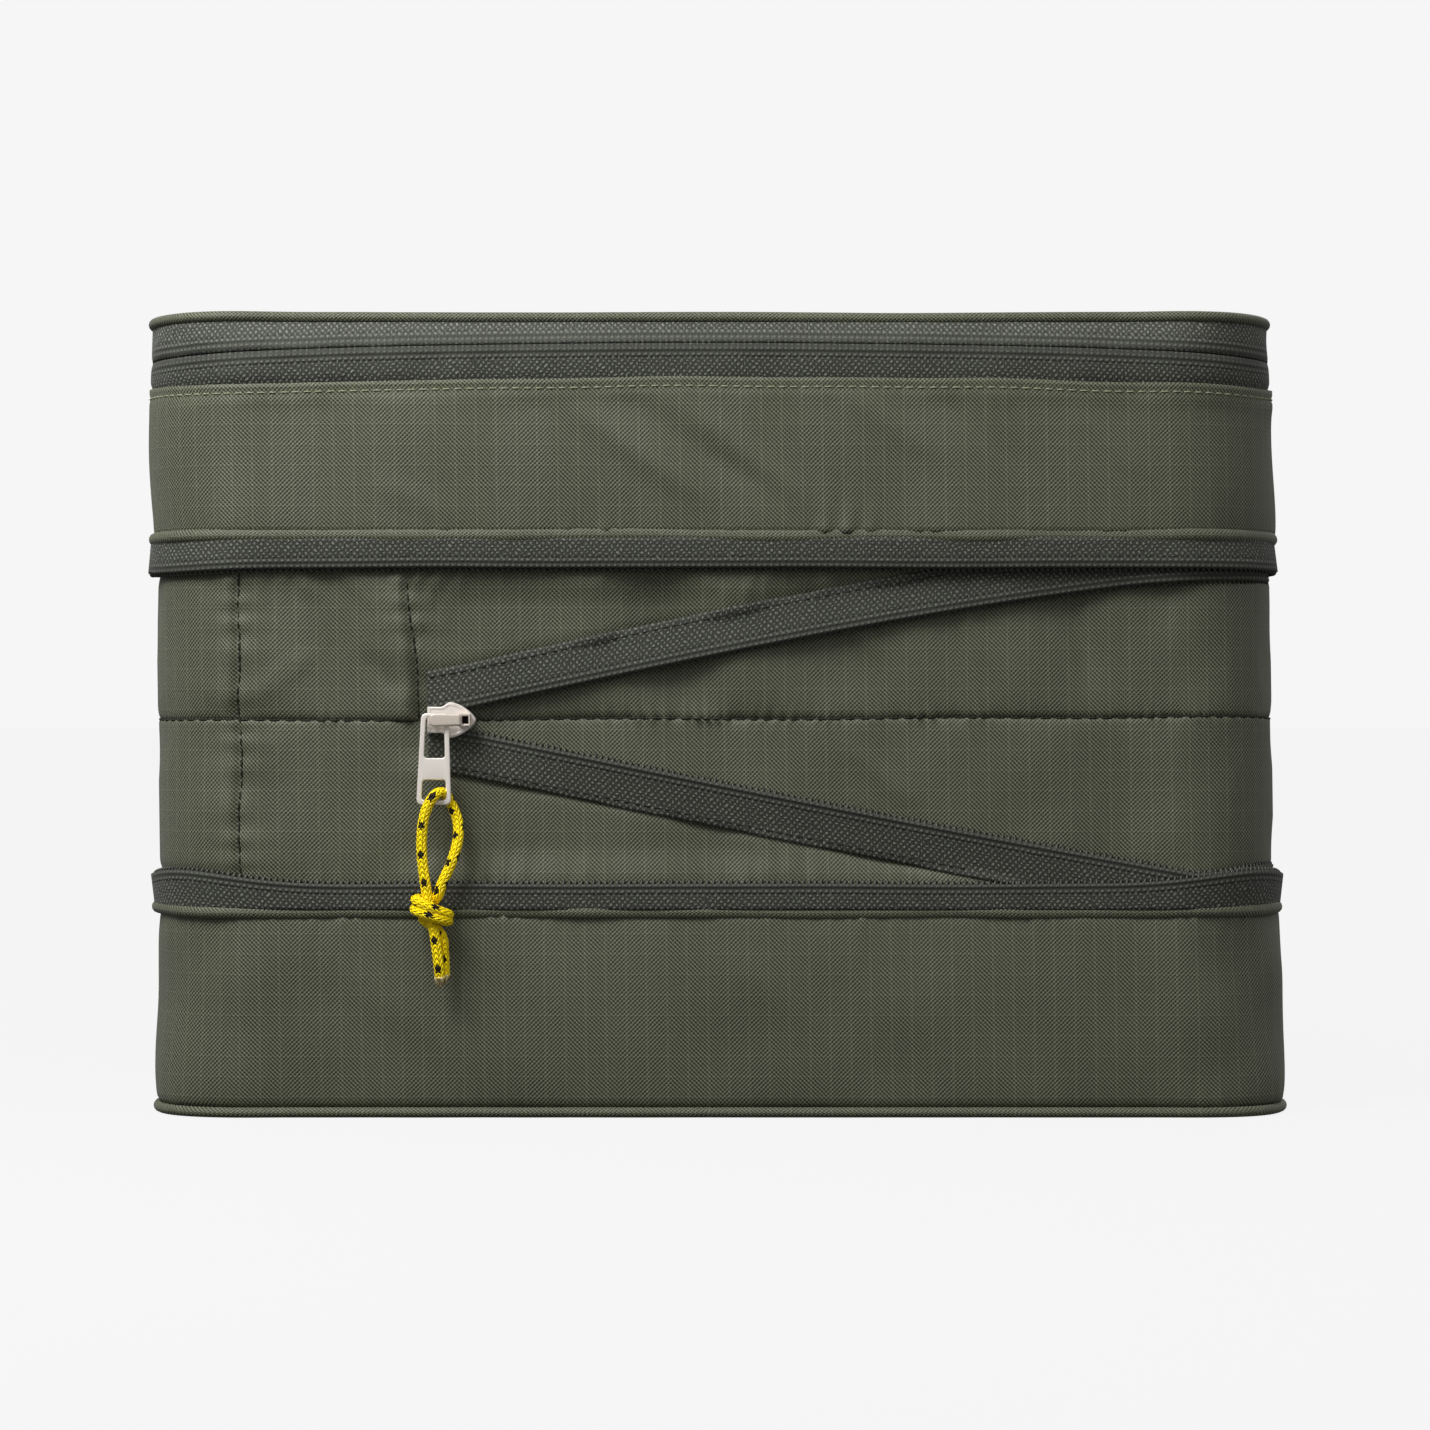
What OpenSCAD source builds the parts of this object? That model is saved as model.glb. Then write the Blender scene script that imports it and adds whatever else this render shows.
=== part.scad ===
// Expandable compression packing cube, standing on its base, fully expanded.
// Millimetres. Origin: middle of the base's underside. +Z up, -Y is the front short side.
// "Inset" is a distance inward from the wall's outer face; a negative inset stands proud.

/* [Body] */
// Width across the short side
body_w = 288; // [260:4:320]
// Depth along the long side
body_d = 388; // [340:4:420]
// Radius of the upright corners
corner_r = 30; // [26:1:40]
// Height of the bottom piping
piping_h = 2.5; // [2:0.5:4]
// Height of the lower wall above the piping
lower_wall_h = 47.5; // [40:0.5:60]
// Height of the folded welt above and below the expansion gusset
welt_h = 3; // [2:0.5:4]
// Height of the upper wall
upper_wall_h = 37; // [30:0.5:50]
// Height of the lid's piping
rim_h = 2.75; // [2:0.25:4]

/* [Zips] */
// Height of the expansion gusset between its two welts
gusset_h = 91.25; // [80:0.25:100]
// Width of one half of a zip's tape
half_tape = 11.75; // [11:0.25:13]
// Width of one coil of teeth
coil_w = 2.4; // [2:0.1:2.6]
// Gap between two facing coils, where the slider's blade runs
coil_gap = 1.2; // [1.1:0.1:1.5]
// Height of the main zip band under the lid
main_zip_h = 15; // [14:0.5:18]
// Width of the cloth hinge at the rear, between the main zip's two ends
hinge_w = 224; // [180:4:224]
// Parking place of the compression slider, along the front
slider_x = -66; // [-80:1:-50]

/* [Sliders] */
// Length of a slider
slider_len = 12; // [11:0.5:13]
// Width of a slider
slider_w = 9; // [8:0.5:9.5]
// Distance of the parked main sliders from the middle of the right side
main_park = 8; // [8:1:20]
// Drop of a pull tab from its pivot
tab_drop = 21.25; // [18:0.25:24]
// Outward lean of a pull tab in degrees
tab_lean = 3; // [2:0.5:4]

/* [Cord] */
// Diameter of the pull cord
cord_d = 2.7; // [2:0.1:3]

/* [Hidden] */
$fn = 96;

// Colours
olive = [0.27, 0.28, 0.21];
binding_colour = [0.16, 0.17, 0.14];
tape_colour = [0.24, 0.25, 0.22];
coil_colour = [0.10, 0.11, 0.10];
nickel = [0.80, 0.77, 0.72];
crown_colour = [0.62, 0.60, 0.56];
cord_colour = [0.90, 0.78, 0.05];

// Heights of the seams, from the base upward
z_lower_seam = piping_h + lower_wall_h;
z_gusset_0 = z_lower_seam + welt_h;
z_gusset_1 = z_gusset_0 + gusset_h;
z_upper_seam = z_gusset_1 + welt_h;
z_hem = z_upper_seam + upper_wall_h;
z_rim = z_hem + main_zip_h;
z_top = z_rim + rim_h;

// Cloth and zip layers, as insets
cloth_t = 1.2;
welt_proud = 0.5;
piping_proud = 0.3;
binding_t = 1;
binding_h = 6;
tape_in = 0.3;
tape_t = 0.7;
coil_t = 1.3;
coil_in = tape_in + tape_t;
spiral_shift = 2.3;
gusset_side_in = 2.8;
gusset_front_in = 6.2;
gusset_t = 1;
body_clear = 0.3;

// Compression zip: the level ring stretches, then the spiral lead-in on the front
ring_tape_lower_h = 6;
ring_tape_upper_h = 7.25;
z_coil_lower = z_gusset_0 + ring_tape_lower_h - coil_w;
z_coil_upper = z_gusset_1 - ring_tape_upper_h;
z_slider = 99.5;
z_centre_seam = 100;
insert_x0 = -120;
insert_x1 = -73;
spiral_x0 = -72;
spiral_x1 = 112;
spiral_mouth_x = slider_x + slider_len / 2;
mouth_half_gap = 2.4;
spiral_rise = 34;
spiral_drop = 35;
rise_run = 200;
drop_run = 180;

// Main zip: two tapes that meet at its middle line
z_main = z_hem + 8.75;

// Slider layers in its own frame: X along the zip, -Y outward
outer_plate_t = 1.3;
slot_t = 2.8;
inner_plate_t = 1;
blade_t = 0.5;
slot_in = -0.1;
crown_w = 3;
crown_bar_t = 1;
crown_x0 = -5;
crown_x1 = 3;
rear_post = 1.5;
front_post = 1.2;
crown_open = 3.4;
pivot_x = -4.2;
tab_t = 1;
tab_y = -outer_plate_t - crown_open + 0.9;
tab_top = 3;
tab_bar = 1;

// Route of the cord's loop, from the knot through the tab's lower window and back:
// X and Z from the pivot, Y as an inset of the front
cord_route = [
    [-1.8, -5.6, -43.5], [-2.6, -5.5, -39.5], [-3.5, -5.3, -33.5], [-3.5, -5.1, -27],
    [-2.2, -4.9, -22.2], [0, -4.6, -19.2], [1.6, -2.9, -18.1], [3.2, -1.2, -19.2],
    [4.7, -0.9, -22], [6.1, -1.4, -25.5], [6.4, -3, -30], [5, -4.6, -35.5], [2.2, -5.5, -41], [1.4, -5.6, -43.5]
];
cord_sides = 8;
cord_steps = 2;
knot_w = 11.5;
knot_h = 8.25;
knot_t = 6.4;
tail_len = 14.5;
tail_x = [-1.8, 1.1];

// ---- outlines ----

module rounded_rect(w, d, r) {
    square([w - 2 * r, d], center = true);
    square([w, d - 2 * r], center = true);
    for (sx = [-1, 1], sy = [-1, 1])
        translate([sx * (w / 2 - r), sy * (d / 2 - r)]) circle(r);
}

// The cube's plan at an inset from the wall's outer face
module plan(inset) {
    rounded_rect(body_w - 2 * inset, body_d - 2 * inset, corner_r - inset);
}

// A closed band round the cube
module ring(z0, h, inset_0, inset_1) {
    translate([0, 0, z0]) linear_extrude(h) difference() {
        plan(inset_0);
        plan(inset_1);
    }
}

// The part of a band that the lid's zip takes up, and the part at the rear that is left to the hinge
module hinge_zone(w) {
    translate([-w / 2, 0, 0]) cube([w, body_d, z_top]);
}
module along_zip() {
    difference() {
        children();
        hinge_zone(hinge_w);
    }
}
module along_hinge() {
    intersection() {
        children();
        hinge_zone(hinge_w - 2 * body_clear);
    }
}

// The gusset's plan: it stands further in along the front, behind the spiral zip
module gusset_plan(extra) {
    side = gusset_side_in + extra;
    front = gusset_front_in + extra;
    translate([0, (front - side) / 2])
        rounded_rect(body_w - 2 * side, body_d - side - front, corner_r - side);
}
module gusset_ring(z0, h, t) {
    translate([0, 0, z0]) linear_extrude(h) difference() {
        gusset_plan(0);
        gusset_plan(t);
    }
}

// A flat shape drawn in X and Z, made into a plate behind the front face
module front_plate(inset, t) {
    translate([0, inset + t - body_d / 2, 0]) rotate([90, 0, 0]) linear_extrude(t) children();
}

// ---- compression zip's spiral ----

// Height of the toothed edges along X; they meet left of the slider
function mouth(x) = mouth_half_gap * (x - spiral_x0 + 1) / (spiral_mouth_x - spiral_x0 + 1);
function along(x, run) = min(1, (x - spiral_mouth_x) / run);
function edge_upper(x) =
    x < spiral_mouth_x ? z_slider + mouth(x)
    : z_slider + mouth_half_gap
        + spiral_rise * (0.5 * along(x, rise_run) + 0.5 * sin(90 * along(x, rise_run)));
function edge_lower(x) =
    x < spiral_mouth_x ? z_slider - mouth(x)
    : z_slider - mouth_half_gap
        - spiral_drop * (0.9 * along(x, drop_run) + 0.1 * sin(90 * along(x, drop_run)));
spiral_xs = [spiral_x0, spiral_mouth_x, for (i = [1:9])
    spiral_mouth_x + i * (spiral_x1 - spiral_mouth_x) / 9];

// A band of even height above (up = 1) or below (up = -1) a toothed edge
module spiral_band(up, h, z_limit) {
    edge = [for (x = spiral_xs) [x, up > 0 ? edge_upper(x) : edge_lower(x)]];
    n = len(edge) - 1;
    outer = [for (i = [n:-1:0]) [edge[i][0], up * min(up * (edge[i][1] + up * h), up * z_limit)]];
    polygon(concat(edge, outer));
}

// ---- slider parts, in the slider's own frame ----

module slab(y0, t) {
    translate([0, y0 + t, 0]) rotate([90, 0, 0]) linear_extrude(t) children();
}
// Narrow rear, wide shoulders and a rounded, pointed nose
module shield() {
    half = slider_len / 2;
    shoulder = slider_w / 2;
    rear = 0.75 * shoulder;
    nose = [for (a = [0:15:90]) [half * (0.2 + 0.8 * sin(a)), shoulder * pow(cos(a), 0.8)]];
    upper = concat([[-half, rear], [-0.45 * half, rear], [-0.2 * half, shoulder]], nose);
    lower = [for (i = [len(upper) - 2:-1:0]) [upper[i][0], -upper[i][1]]];
    polygon(concat(upper, lower));
}
module slider_body() {
    slab(-outer_plate_t, outer_plate_t) shield();
    slab(slot_t, inner_plate_t) shield();
    translate([1.5, -0.2, -blade_t / 2]) cube([3.5, slot_t + 0.4, blade_t]);
}
module slider_crown() {
    depth = crown_open + crown_bar_t;
    translate([crown_x0, -outer_plate_t - depth, -crown_w / 2]) difference() {
        cube([crown_x1 - crown_x0, depth, crown_w]);
        translate([rear_post, crown_bar_t, -1])
            cube([crown_x1 - crown_x0 - rear_post - front_post, depth, crown_w + 2]);
    }
}
// Bent spring pawl between the crown's front post and the plate's window
module slider_lock() {
    translate([crown_x1, -outer_plate_t - 2.9, -0.5]) {
        cube([1.4, 0.5, 1]);
        translate([0.9, 0, 0]) cube([0.5, 2.9, 1]);
    }
}
// Framed tab that hangs round the crown's rear post
module pull_tab() {
    top_l = -3.05;
    top_r = 3.7;
    foot_l = -4.3;
    foot_r = 4.45;
    side = 0.95;
    plate_z0 = -15;
    plate_z1 = -9.5;
    foot_bar = 1.25;
    run = tab_top + tab_drop;
    function left(z) = foot_l + (top_l - foot_l) * (z + tab_drop) / run;
    function right(z) = foot_r + (top_r - foot_r) * (z + tab_drop) / run;
    function window(z0, z1) = [
        [left(z0) + side, z0], [right(z0) - side, z0], [right(z1) - side, z1], [left(z1) + side, z1]
    ];
    translate([pivot_x, tab_y, 0]) rotate([-tab_lean, 0, 0]) slab(-tab_t / 2, tab_t) difference() {
        polygon([[foot_l, -tab_drop], [foot_r, -tab_drop], [top_r, tab_top], [top_l, tab_top]]);
        polygon(window(plate_z1, tab_top - tab_bar));
        polygon(window(foot_bar - tab_drop, plate_z0));
    }
}

// Places of the three sliders
module at_compression_slider() {
    translate([slider_x, slot_in + spiral_shift - 0.1 - body_d / 2, z_slider]) children();
}
module at_main_slider(side) {
    translate([body_w / 2 - slot_in, side * main_park, z_main])
        rotate([0, 0, 90]) mirror([side > 0 ? 1 : 0, 0, 0]) children();
}

// ---- cord ----

pivot = [slider_x + pivot_x, -body_d / 2, z_slider];
function mix(p, i, t) =
    let (n = len(p) - 1, a = p[max(0, i - 1)], b = p[i], c = p[min(n, i + 1)], d = p[min(n, i + 2)])
    0.5 * (2 * b + (c - a) * t + (2 * a - 5 * b + 4 * c - d) * t * t + (3 * b - a - 3 * c + d) * t * t * t);
function unit(v) = v / norm(v);
// One eight-sided tube through the route's points, with flat horizontal ends
module cord_tube(route, d) {
    line = [for (i = [0:len(route) - 2], k = [0:cord_steps - 1]) mix(route, i, k / cord_steps),
        route[len(route) - 1]];
    n = len(line) - 1;
    upright = [0, 0, 1];
    lay = unit([1, -1, 0]);
    points = [for (i = [0:n])
        let (
            t = i == 0 ? upright : i == n ? -upright : unit(line[i + 1] - line[i - 1]),
            u = unit(lay - (lay * t) * t),
            v = cross(t, u)
        )
        for (k = [0:cord_sides - 1])
            line[i] + d / 2 * (cos(k * 360 / cord_sides) * u + sin(k * 360 / cord_sides) * v)];
    first = [for (k = [0:cord_sides - 1]) k];
    last = [for (k = [cord_sides - 1:-1:0]) n * cord_sides + k];
    sides = [for (i = [0:n - 1], k = [0:cord_sides - 1])
        let (a = i * cord_sides + k, b = i * cord_sides + (k + 1) % cord_sides)
        [a, a + cord_sides, b + cord_sides, b]];
    polyhedron(points, concat([first, last], sides), convexity = 4);
}

// ---- base ----

module base_panel() {
    color(olive) linear_extrude(1.5) plan(cloth_t);
}
module bottom_piping() {
    color(olive) ring(0, piping_h, -piping_proud, cloth_t);
}
module base_seam_binding() {
    color(binding_colour) ring(1.5, binding_h, cloth_t, cloth_t + binding_t);
}
module lower_wall() {
    color(olive) ring(piping_h, lower_wall_h, 0, cloth_t);
}
module lower_welt() {
    color(olive) ring(z_lower_seam, welt_h, -welt_proud, cloth_t);
}
module lower_seam_binding() {
    color(binding_colour) ring(z_lower_seam - binding_h, binding_h, cloth_t, cloth_t + binding_t);
}
module compression_tape_lower() {
    color(tape_colour) ring(z_gusset_0, ring_tape_lower_h - 0.4, tape_in, tape_in + tape_t);
}
module compression_coil_lower() {
    color(coil_colour) ring(z_coil_lower, coil_w, coil_in, coil_in + coil_t);
}

// ---- upper part ----

module upper_wall() {
    color(olive) ring(z_upper_seam, upper_wall_h, 0, cloth_t);
}
module upper_welt() {
    color(olive) ring(z_gusset_1, welt_h, -welt_proud, cloth_t);
}
module upper_seam_binding() {
    color(binding_colour) ring(z_upper_seam, binding_h, cloth_t, cloth_t + binding_t);
}
module compression_tape_upper() {
    color(tape_colour)
        ring(z_coil_upper + 0.4, ring_tape_upper_h - 0.4, tape_in, tape_in + tape_t);
}
module compression_coil_upper() {
    color(coil_colour) ring(z_coil_upper, coil_w, coil_in, coil_in + coil_t);
}
module main_tape_wall() {
    color(tape_colour) along_zip()
        ring(z_hem, z_main - z_hem - coil_gap / 2 - 0.4, tape_in, tape_in + tape_t);
}
module main_coil_wall() {
    color(coil_colour) along_zip()
        ring(z_main - coil_gap / 2 - coil_w, coil_w, coil_in, coil_in + coil_t);
}
module hinge_strip() {
    color(olive) along_hinge() ring(z_hem, z_rim - z_hem - body_clear, 0, cloth_t);
}
// Folded fabric tabs sewn inside the wall, over the ends of the main zip
module main_zip_end_tabs() {
    tab_len = 14;
    tab_t = 0.8;
    tab_in = coil_in + coil_t + body_clear;
    color(olive) for (side = [-1, 1])
        translate([side * hinge_w / 2 - tab_len / 2, body_d / 2 - tab_in - tab_t, z_hem - 4])
            cube([tab_len, tab_t, 8]);
}

// ---- gusset and spiral zip ----

module gusset_centre_binding() {
    color(binding_colour) gusset_ring(z_centre_seam - 1.5, 3, 1.7);
}
module gusset_panel_lower() {
    color(olive) gusset_ring(z_gusset_0, z_centre_seam - 1.5 - z_gusset_0, gusset_t);
}
module upper_gusset_band() {
    gusset_ring(z_centre_seam + 1.5, z_gusset_1 - z_centre_seam - 1.5, gusset_t);
}
module insert_box() {
    translate([insert_x0, -body_d, 0]) cube([insert_x1 - insert_x0, body_d / 2 + 20, z_top]);
}
module gusset_panel_upper() {
    color(olive) difference() {
        upper_gusset_band();
        insert_box();
    }
}
module gusset_panel_insert() {
    color(olive) intersection() {
        upper_gusset_band();
        insert_box();
    }
}
module spiral_tape_upper() {
    color(tape_colour) front_plate(tape_in + spiral_shift, tape_t)
        spiral_band(1, half_tape, z_gusset_1);
}
module spiral_tape_lower() {
    color(tape_colour) front_plate(tape_in + spiral_shift, tape_t)
        spiral_band(-1, half_tape, z_gusset_0);
}
module spiral_coil_upper() {
    color(coil_colour) front_plate(coil_in + spiral_shift, coil_t - 0.1)
        spiral_band(1, coil_w, z_gusset_1);
}
module spiral_coil_lower() {
    color(coil_colour) front_plate(coil_in + spiral_shift, coil_t - 0.1)
        spiral_band(-1, coil_w, z_gusset_0);
}

// ---- compression slider, pull and cord ----

module compression_slider_body() {
    color(nickel) at_compression_slider() slider_body();
}
module compression_slider_crown() {
    color(crown_colour) at_compression_slider() slider_crown();
}
module compression_slider_lock() {
    color(crown_colour) at_compression_slider() slider_lock();
}
module compression_pull_tab() {
    color(nickel) at_compression_slider() pull_tab();
}
module pull_cord() {
    color(cord_colour) translate(pivot) cord_tube(cord_route, cord_d);
}
module pull_cord_knot() {
    top = cord_route[0];
    color(cord_colour) translate(pivot + [-0.2, top[1] - knot_t / 2, top[2] - knot_h / 2])
        rotate([-90, 0, 0]) linear_extrude(knot_t) rounded_rect(knot_w, knot_h, 0.4 * knot_h);
}
module pull_cord_tails() {
    top = cord_route[0];
    color(cord_colour) for (x = tail_x)
        translate(pivot + [x, top[1] + 0.6, top[2] - knot_h - tail_len]) cylinder(d = cord_d, h = tail_len);
}

// ---- lid ----

module lid_panel() {
    color(olive) translate([0, 0, z_rim + 1.15]) linear_extrude(cloth_t) plan(cloth_t);
}
module lid_piping() {
    color(olive) ring(z_rim, rim_h, -piping_proud, cloth_t);
}
module lid_seam_binding() {
    color(binding_colour) ring(z_rim - 1.4, 2.55, cloth_t + body_clear, cloth_t + body_clear + binding_t);
}
module main_tape_lid() {
    z0 = z_main + coil_gap / 2 + 0.4;
    color(tape_colour) along_zip() ring(z0, z_rim - z0, tape_in, tape_in + tape_t);
}
module main_coil_lid() {
    color(coil_colour) along_zip()
        ring(z_main + coil_gap / 2, coil_w, coil_in, coil_in + coil_t);
}

// ---- main sliders and pulls ----

module main_slider_a_body() {
    color(nickel) at_main_slider(-1) slider_body();
}
module main_slider_a_crown() {
    color(crown_colour) at_main_slider(-1) slider_crown();
}
module main_slider_a_lock() {
    color(crown_colour) at_main_slider(-1) slider_lock();
}
module main_slider_b_body() {
    color(nickel) at_main_slider(1) slider_body();
}
module main_slider_b_crown() {
    color(crown_colour) at_main_slider(1) slider_crown();
}
module main_slider_b_lock() {
    color(crown_colour) at_main_slider(1) slider_lock();
}
module main_pull_a() {
    color(nickel) at_main_slider(-1) pull_tab();
}
module main_pull_b() {
    color(nickel) at_main_slider(1) pull_tab();
}

base_panel();
bottom_piping();
base_seam_binding();
lower_wall();
lower_welt();
lower_seam_binding();
compression_tape_lower();
compression_coil_lower();
upper_wall();
upper_welt();
upper_seam_binding();
compression_tape_upper();
compression_coil_upper();
main_tape_wall();
main_coil_wall();
hinge_strip();
main_zip_end_tabs();
gusset_centre_binding();
gusset_panel_upper();
gusset_panel_insert();
gusset_panel_lower();
spiral_tape_upper();
spiral_tape_lower();
spiral_coil_upper();
spiral_coil_lower();
compression_slider_body();
compression_slider_crown();
compression_slider_lock();
compression_pull_tab();
pull_cord();
pull_cord_knot();
pull_cord_tails();
lid_panel();
lid_piping();
lid_seam_binding();
main_tape_lid();
main_coil_lid();
main_slider_a_body();
main_slider_a_crown();
main_slider_a_lock();
main_slider_b_body();
main_slider_b_crown();
main_slider_b_lock();
main_pull_a();
main_pull_b();
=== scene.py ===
import math

import bmesh
import bpy
import numpy as np
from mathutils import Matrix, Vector


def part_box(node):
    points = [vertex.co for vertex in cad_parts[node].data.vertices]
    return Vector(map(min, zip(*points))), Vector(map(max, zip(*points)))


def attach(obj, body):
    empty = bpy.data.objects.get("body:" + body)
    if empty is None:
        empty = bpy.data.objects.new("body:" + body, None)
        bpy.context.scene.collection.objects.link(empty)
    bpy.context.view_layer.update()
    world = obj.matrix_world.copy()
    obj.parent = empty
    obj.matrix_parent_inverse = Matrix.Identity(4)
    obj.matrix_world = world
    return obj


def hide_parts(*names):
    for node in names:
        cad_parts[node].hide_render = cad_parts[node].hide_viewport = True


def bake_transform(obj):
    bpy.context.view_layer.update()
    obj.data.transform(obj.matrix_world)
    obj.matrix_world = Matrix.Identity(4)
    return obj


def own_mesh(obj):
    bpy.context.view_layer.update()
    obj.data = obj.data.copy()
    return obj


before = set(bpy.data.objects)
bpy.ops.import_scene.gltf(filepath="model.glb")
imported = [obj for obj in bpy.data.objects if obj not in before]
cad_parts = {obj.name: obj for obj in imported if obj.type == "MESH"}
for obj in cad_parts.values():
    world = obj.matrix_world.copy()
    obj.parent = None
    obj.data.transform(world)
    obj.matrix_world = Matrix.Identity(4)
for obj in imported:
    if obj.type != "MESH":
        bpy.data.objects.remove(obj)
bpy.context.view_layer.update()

# Shapes are worked out in millimetres and stored in metres.
# "d" is a distance inward from the wall's outer face, and "s" runs round the cube from the
# middle of the back, over the left side and the front, so that it grows with X on the front.
MM = 0.001
TAU = 2 * math.pi


def cad(node):
    lo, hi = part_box(node)
    return np.array(lo) / MM, np.array(hi) / MM


# ---- sizes, from the CAD frame ----

WALL_LO, WALL_HI = cad("lower_wall")
WIDTH = WALL_HI[0] - WALL_LO[0]
DEPTH = WALL_HI[1] - WALL_LO[1]
FRONT = WALL_LO[1]
CORNER_R = 30.0
Z_PIPING = WALL_LO[2]
Z_LOWER_SEAM = WALL_HI[2]
Z_GUSSET_0 = cad("lower_welt")[1][2]
Z_GUSSET_1 = cad("upper_welt")[0][2]
Z_UPPER_SEAM = cad("upper_welt")[1][2]
Z_HEM = cad("upper_wall")[1][2]
Z_RIM, Z_TOP = cad("lid_piping")[0][2], cad("lid_piping")[1][2]
Z_MAIN = (cad("main_coil_wall")[1][2] + cad("main_coil_lid")[0][2]) / 2
Z_CENTRE = (cad("gusset_centre_binding")[0][2] + cad("gusset_centre_binding")[1][2]) / 2
Z_RING_LOWER = cad("compression_coil_lower")[1][2]
Z_RING_UPPER = cad("compression_coil_upper")[0][2]
HINGE_HALF = cad("hinge_strip")[1][0] + 0.3
INSERT_X0, INSERT_X1 = cad("gusset_panel_insert")[0][0], cad("gusset_panel_insert")[1][0]
SLIDER_LO, SLIDER_HI = cad("compression_slider_body")
SLIDER_X = (SLIDER_LO[0] + SLIDER_HI[0]) / 2
SLIDER_Z = (SLIDER_LO[2] + SLIDER_HI[2]) / 2
OUTER_PLATE = 1.3

HALF_TAPE = 11.7
TOOTH_PITCH = 1.5
STITCH_PITCH = 2.9
CLOTH_THICK = 0.5
ROPE_SIDES = 14
FOOT_SHIFT, LEAN = 1.3, 2.7
FRONT_FLAT, CORNER_BLEND = 100, 38
INTO_WELT, GUSSET_INTO_WELT = 1.3, 1.8
WELT_HALF = 1.65
HEM_FOLD = 2.4
TAPE_GAP = 0.12
MAIN_HEADS = 0.55
COIL_BEHIND = 0.95

# ---- the cube's outline ----

HALF_BACK = WIDTH / 2 - CORNER_R
QUARTER = CORNER_R * math.pi / 2
SIDE = DEPTH - 2 * CORNER_R
FRONT_RUN = WIDTH - 2 * CORNER_R
PERIM = 2 * (SIDE + FRONT_RUN) + 4 * QUARTER
S_FRONT = HALF_BACK + QUARTER + SIDE + QUARTER + FRONT_RUN / 2


def outline(s):
    """Place and outward normal of the wall's outer face at s."""
    s = np.mod(np.asarray(s, float), PERIM)
    x, y = np.zeros_like(s), np.zeros_like(s)
    nx, ny = np.zeros_like(s), np.zeros_like(s)
    px, py, heading, at = 0.0, DEPTH / 2, math.pi, 0.0
    runs = [HALF_BACK, None, SIDE, None, FRONT_RUN, None, SIDE, None, HALF_BACK]
    for run in runs:
        length = QUARTER if run is None else run
        here = (s >= at) & (s <= at + length)
        q = s[here] - at
        if run is None:
            cx, cy = px - CORNER_R * math.sin(heading), py + CORNER_R * math.cos(heading)
            a = heading + q / CORNER_R
            x[here], y[here] = cx + CORNER_R * np.sin(a), cy - CORNER_R * np.cos(a)
            nx[here], ny[here] = np.sin(a), -np.cos(a)
            heading += math.pi / 2
            px, py = cx + CORNER_R * math.sin(heading), cy - CORNER_R * math.cos(heading)
        else:
            x[here], y[here] = px + q * math.cos(heading), py + q * math.sin(heading)
            nx[here], ny[here] = math.sin(heading), -math.cos(heading)
            px, py = px + run * math.cos(heading), py + run * math.sin(heading)
        at += length
    return x, y, nx, ny


def lean(z):
    """The soft cube stands a little crooked: its foot is further right than its rim."""
    return FOOT_SHIFT - LEAN * np.asarray(z) / Z_TOP


def place(s, d, z, crooked=True):
    x, y, nx, ny = outline(s)
    while x.ndim < np.ndim(d):
        x, y, nx, ny = x[:, None], y[:, None], nx[:, None], ny[:, None]
    shift = lean(z) if crooked else 0
    return np.stack(np.broadcast_arrays(x - nx * d + shift, y - ny * d, z), -1)


def smooth(t):
    t = np.clip(t, 0, 1)
    return t * t * (3 - 2 * t)


def front_x(s):
    """X along the front, and its continuation round the corners."""
    return np.mod(s - S_FRONT + PERIM / 2, PERIM) - PERIM / 2


def away_from_front(s):
    """0 along the front, 1 on the sides and the back."""
    return smooth((np.abs(front_x(s)) - FRONT_FLAT) / CORNER_BLEND)


def near_corner(s, reach=15.0):
    """1 in the middle of each rounded corner, 0 on the straights."""
    u = np.abs(front_x(s))
    middle = FRONT_RUN / 2 + QUARTER / 2
    return np.exp(-((u - middle) / reach) ** 2) + np.exp(-((u - (PERIM / 2 - middle)) / reach) ** 2)


# ---- folds and creases ----


def ruffle(s, seed, shortest, longest, count=24):
    """A smooth random wave along s that closes on itself, about -1 to 1."""
    rng = np.random.default_rng(seed)
    turns = rng.integers(int(PERIM / longest), int(PERIM / shortest) + 1, count)
    phase = rng.uniform(0, TAU, count)
    s = np.asarray(s, float)[..., None]
    return np.cos(TAU * turns * s / PERIM + phase).sum(-1) / math.sqrt(count)


def crumple(s, z, seed, shortest, longest, count=28):
    """Random soft waves in every direction over the cloth."""
    rng = np.random.default_rng(seed)
    total = 0
    for _ in range(count):
        size = rng.uniform(shortest, longest)
        a = rng.uniform(0, TAU)
        turns = round(PERIM * math.cos(a) / size)
        total = total + np.cos(TAU * turns * s / PERIM + TAU * math.sin(a) * z / size + rng.uniform(0, TAU))
    return total / math.sqrt(count)


def puckers(s, z, z_seam, seed, height, reach, shortest=5, longest=16, even=0.35):
    """Short folds that run out from a sewn seam."""
    away = np.abs(z - z_seam)
    lean_in = 0.25 * (z - z_seam) * ruffle(s, seed + 1, 40, 120, 8)
    fold = ruffle(s + lean_in, seed, shortest, longest)
    strength = even + (1 - even) * np.clip(0.5 + 0.8 * ruffle(s, seed + 2, 30, 140, 10), 0, 1.3)
    return height * strength * (np.abs(fold) ** 1.3 - 0.5) * np.exp(-away / reach)


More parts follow.
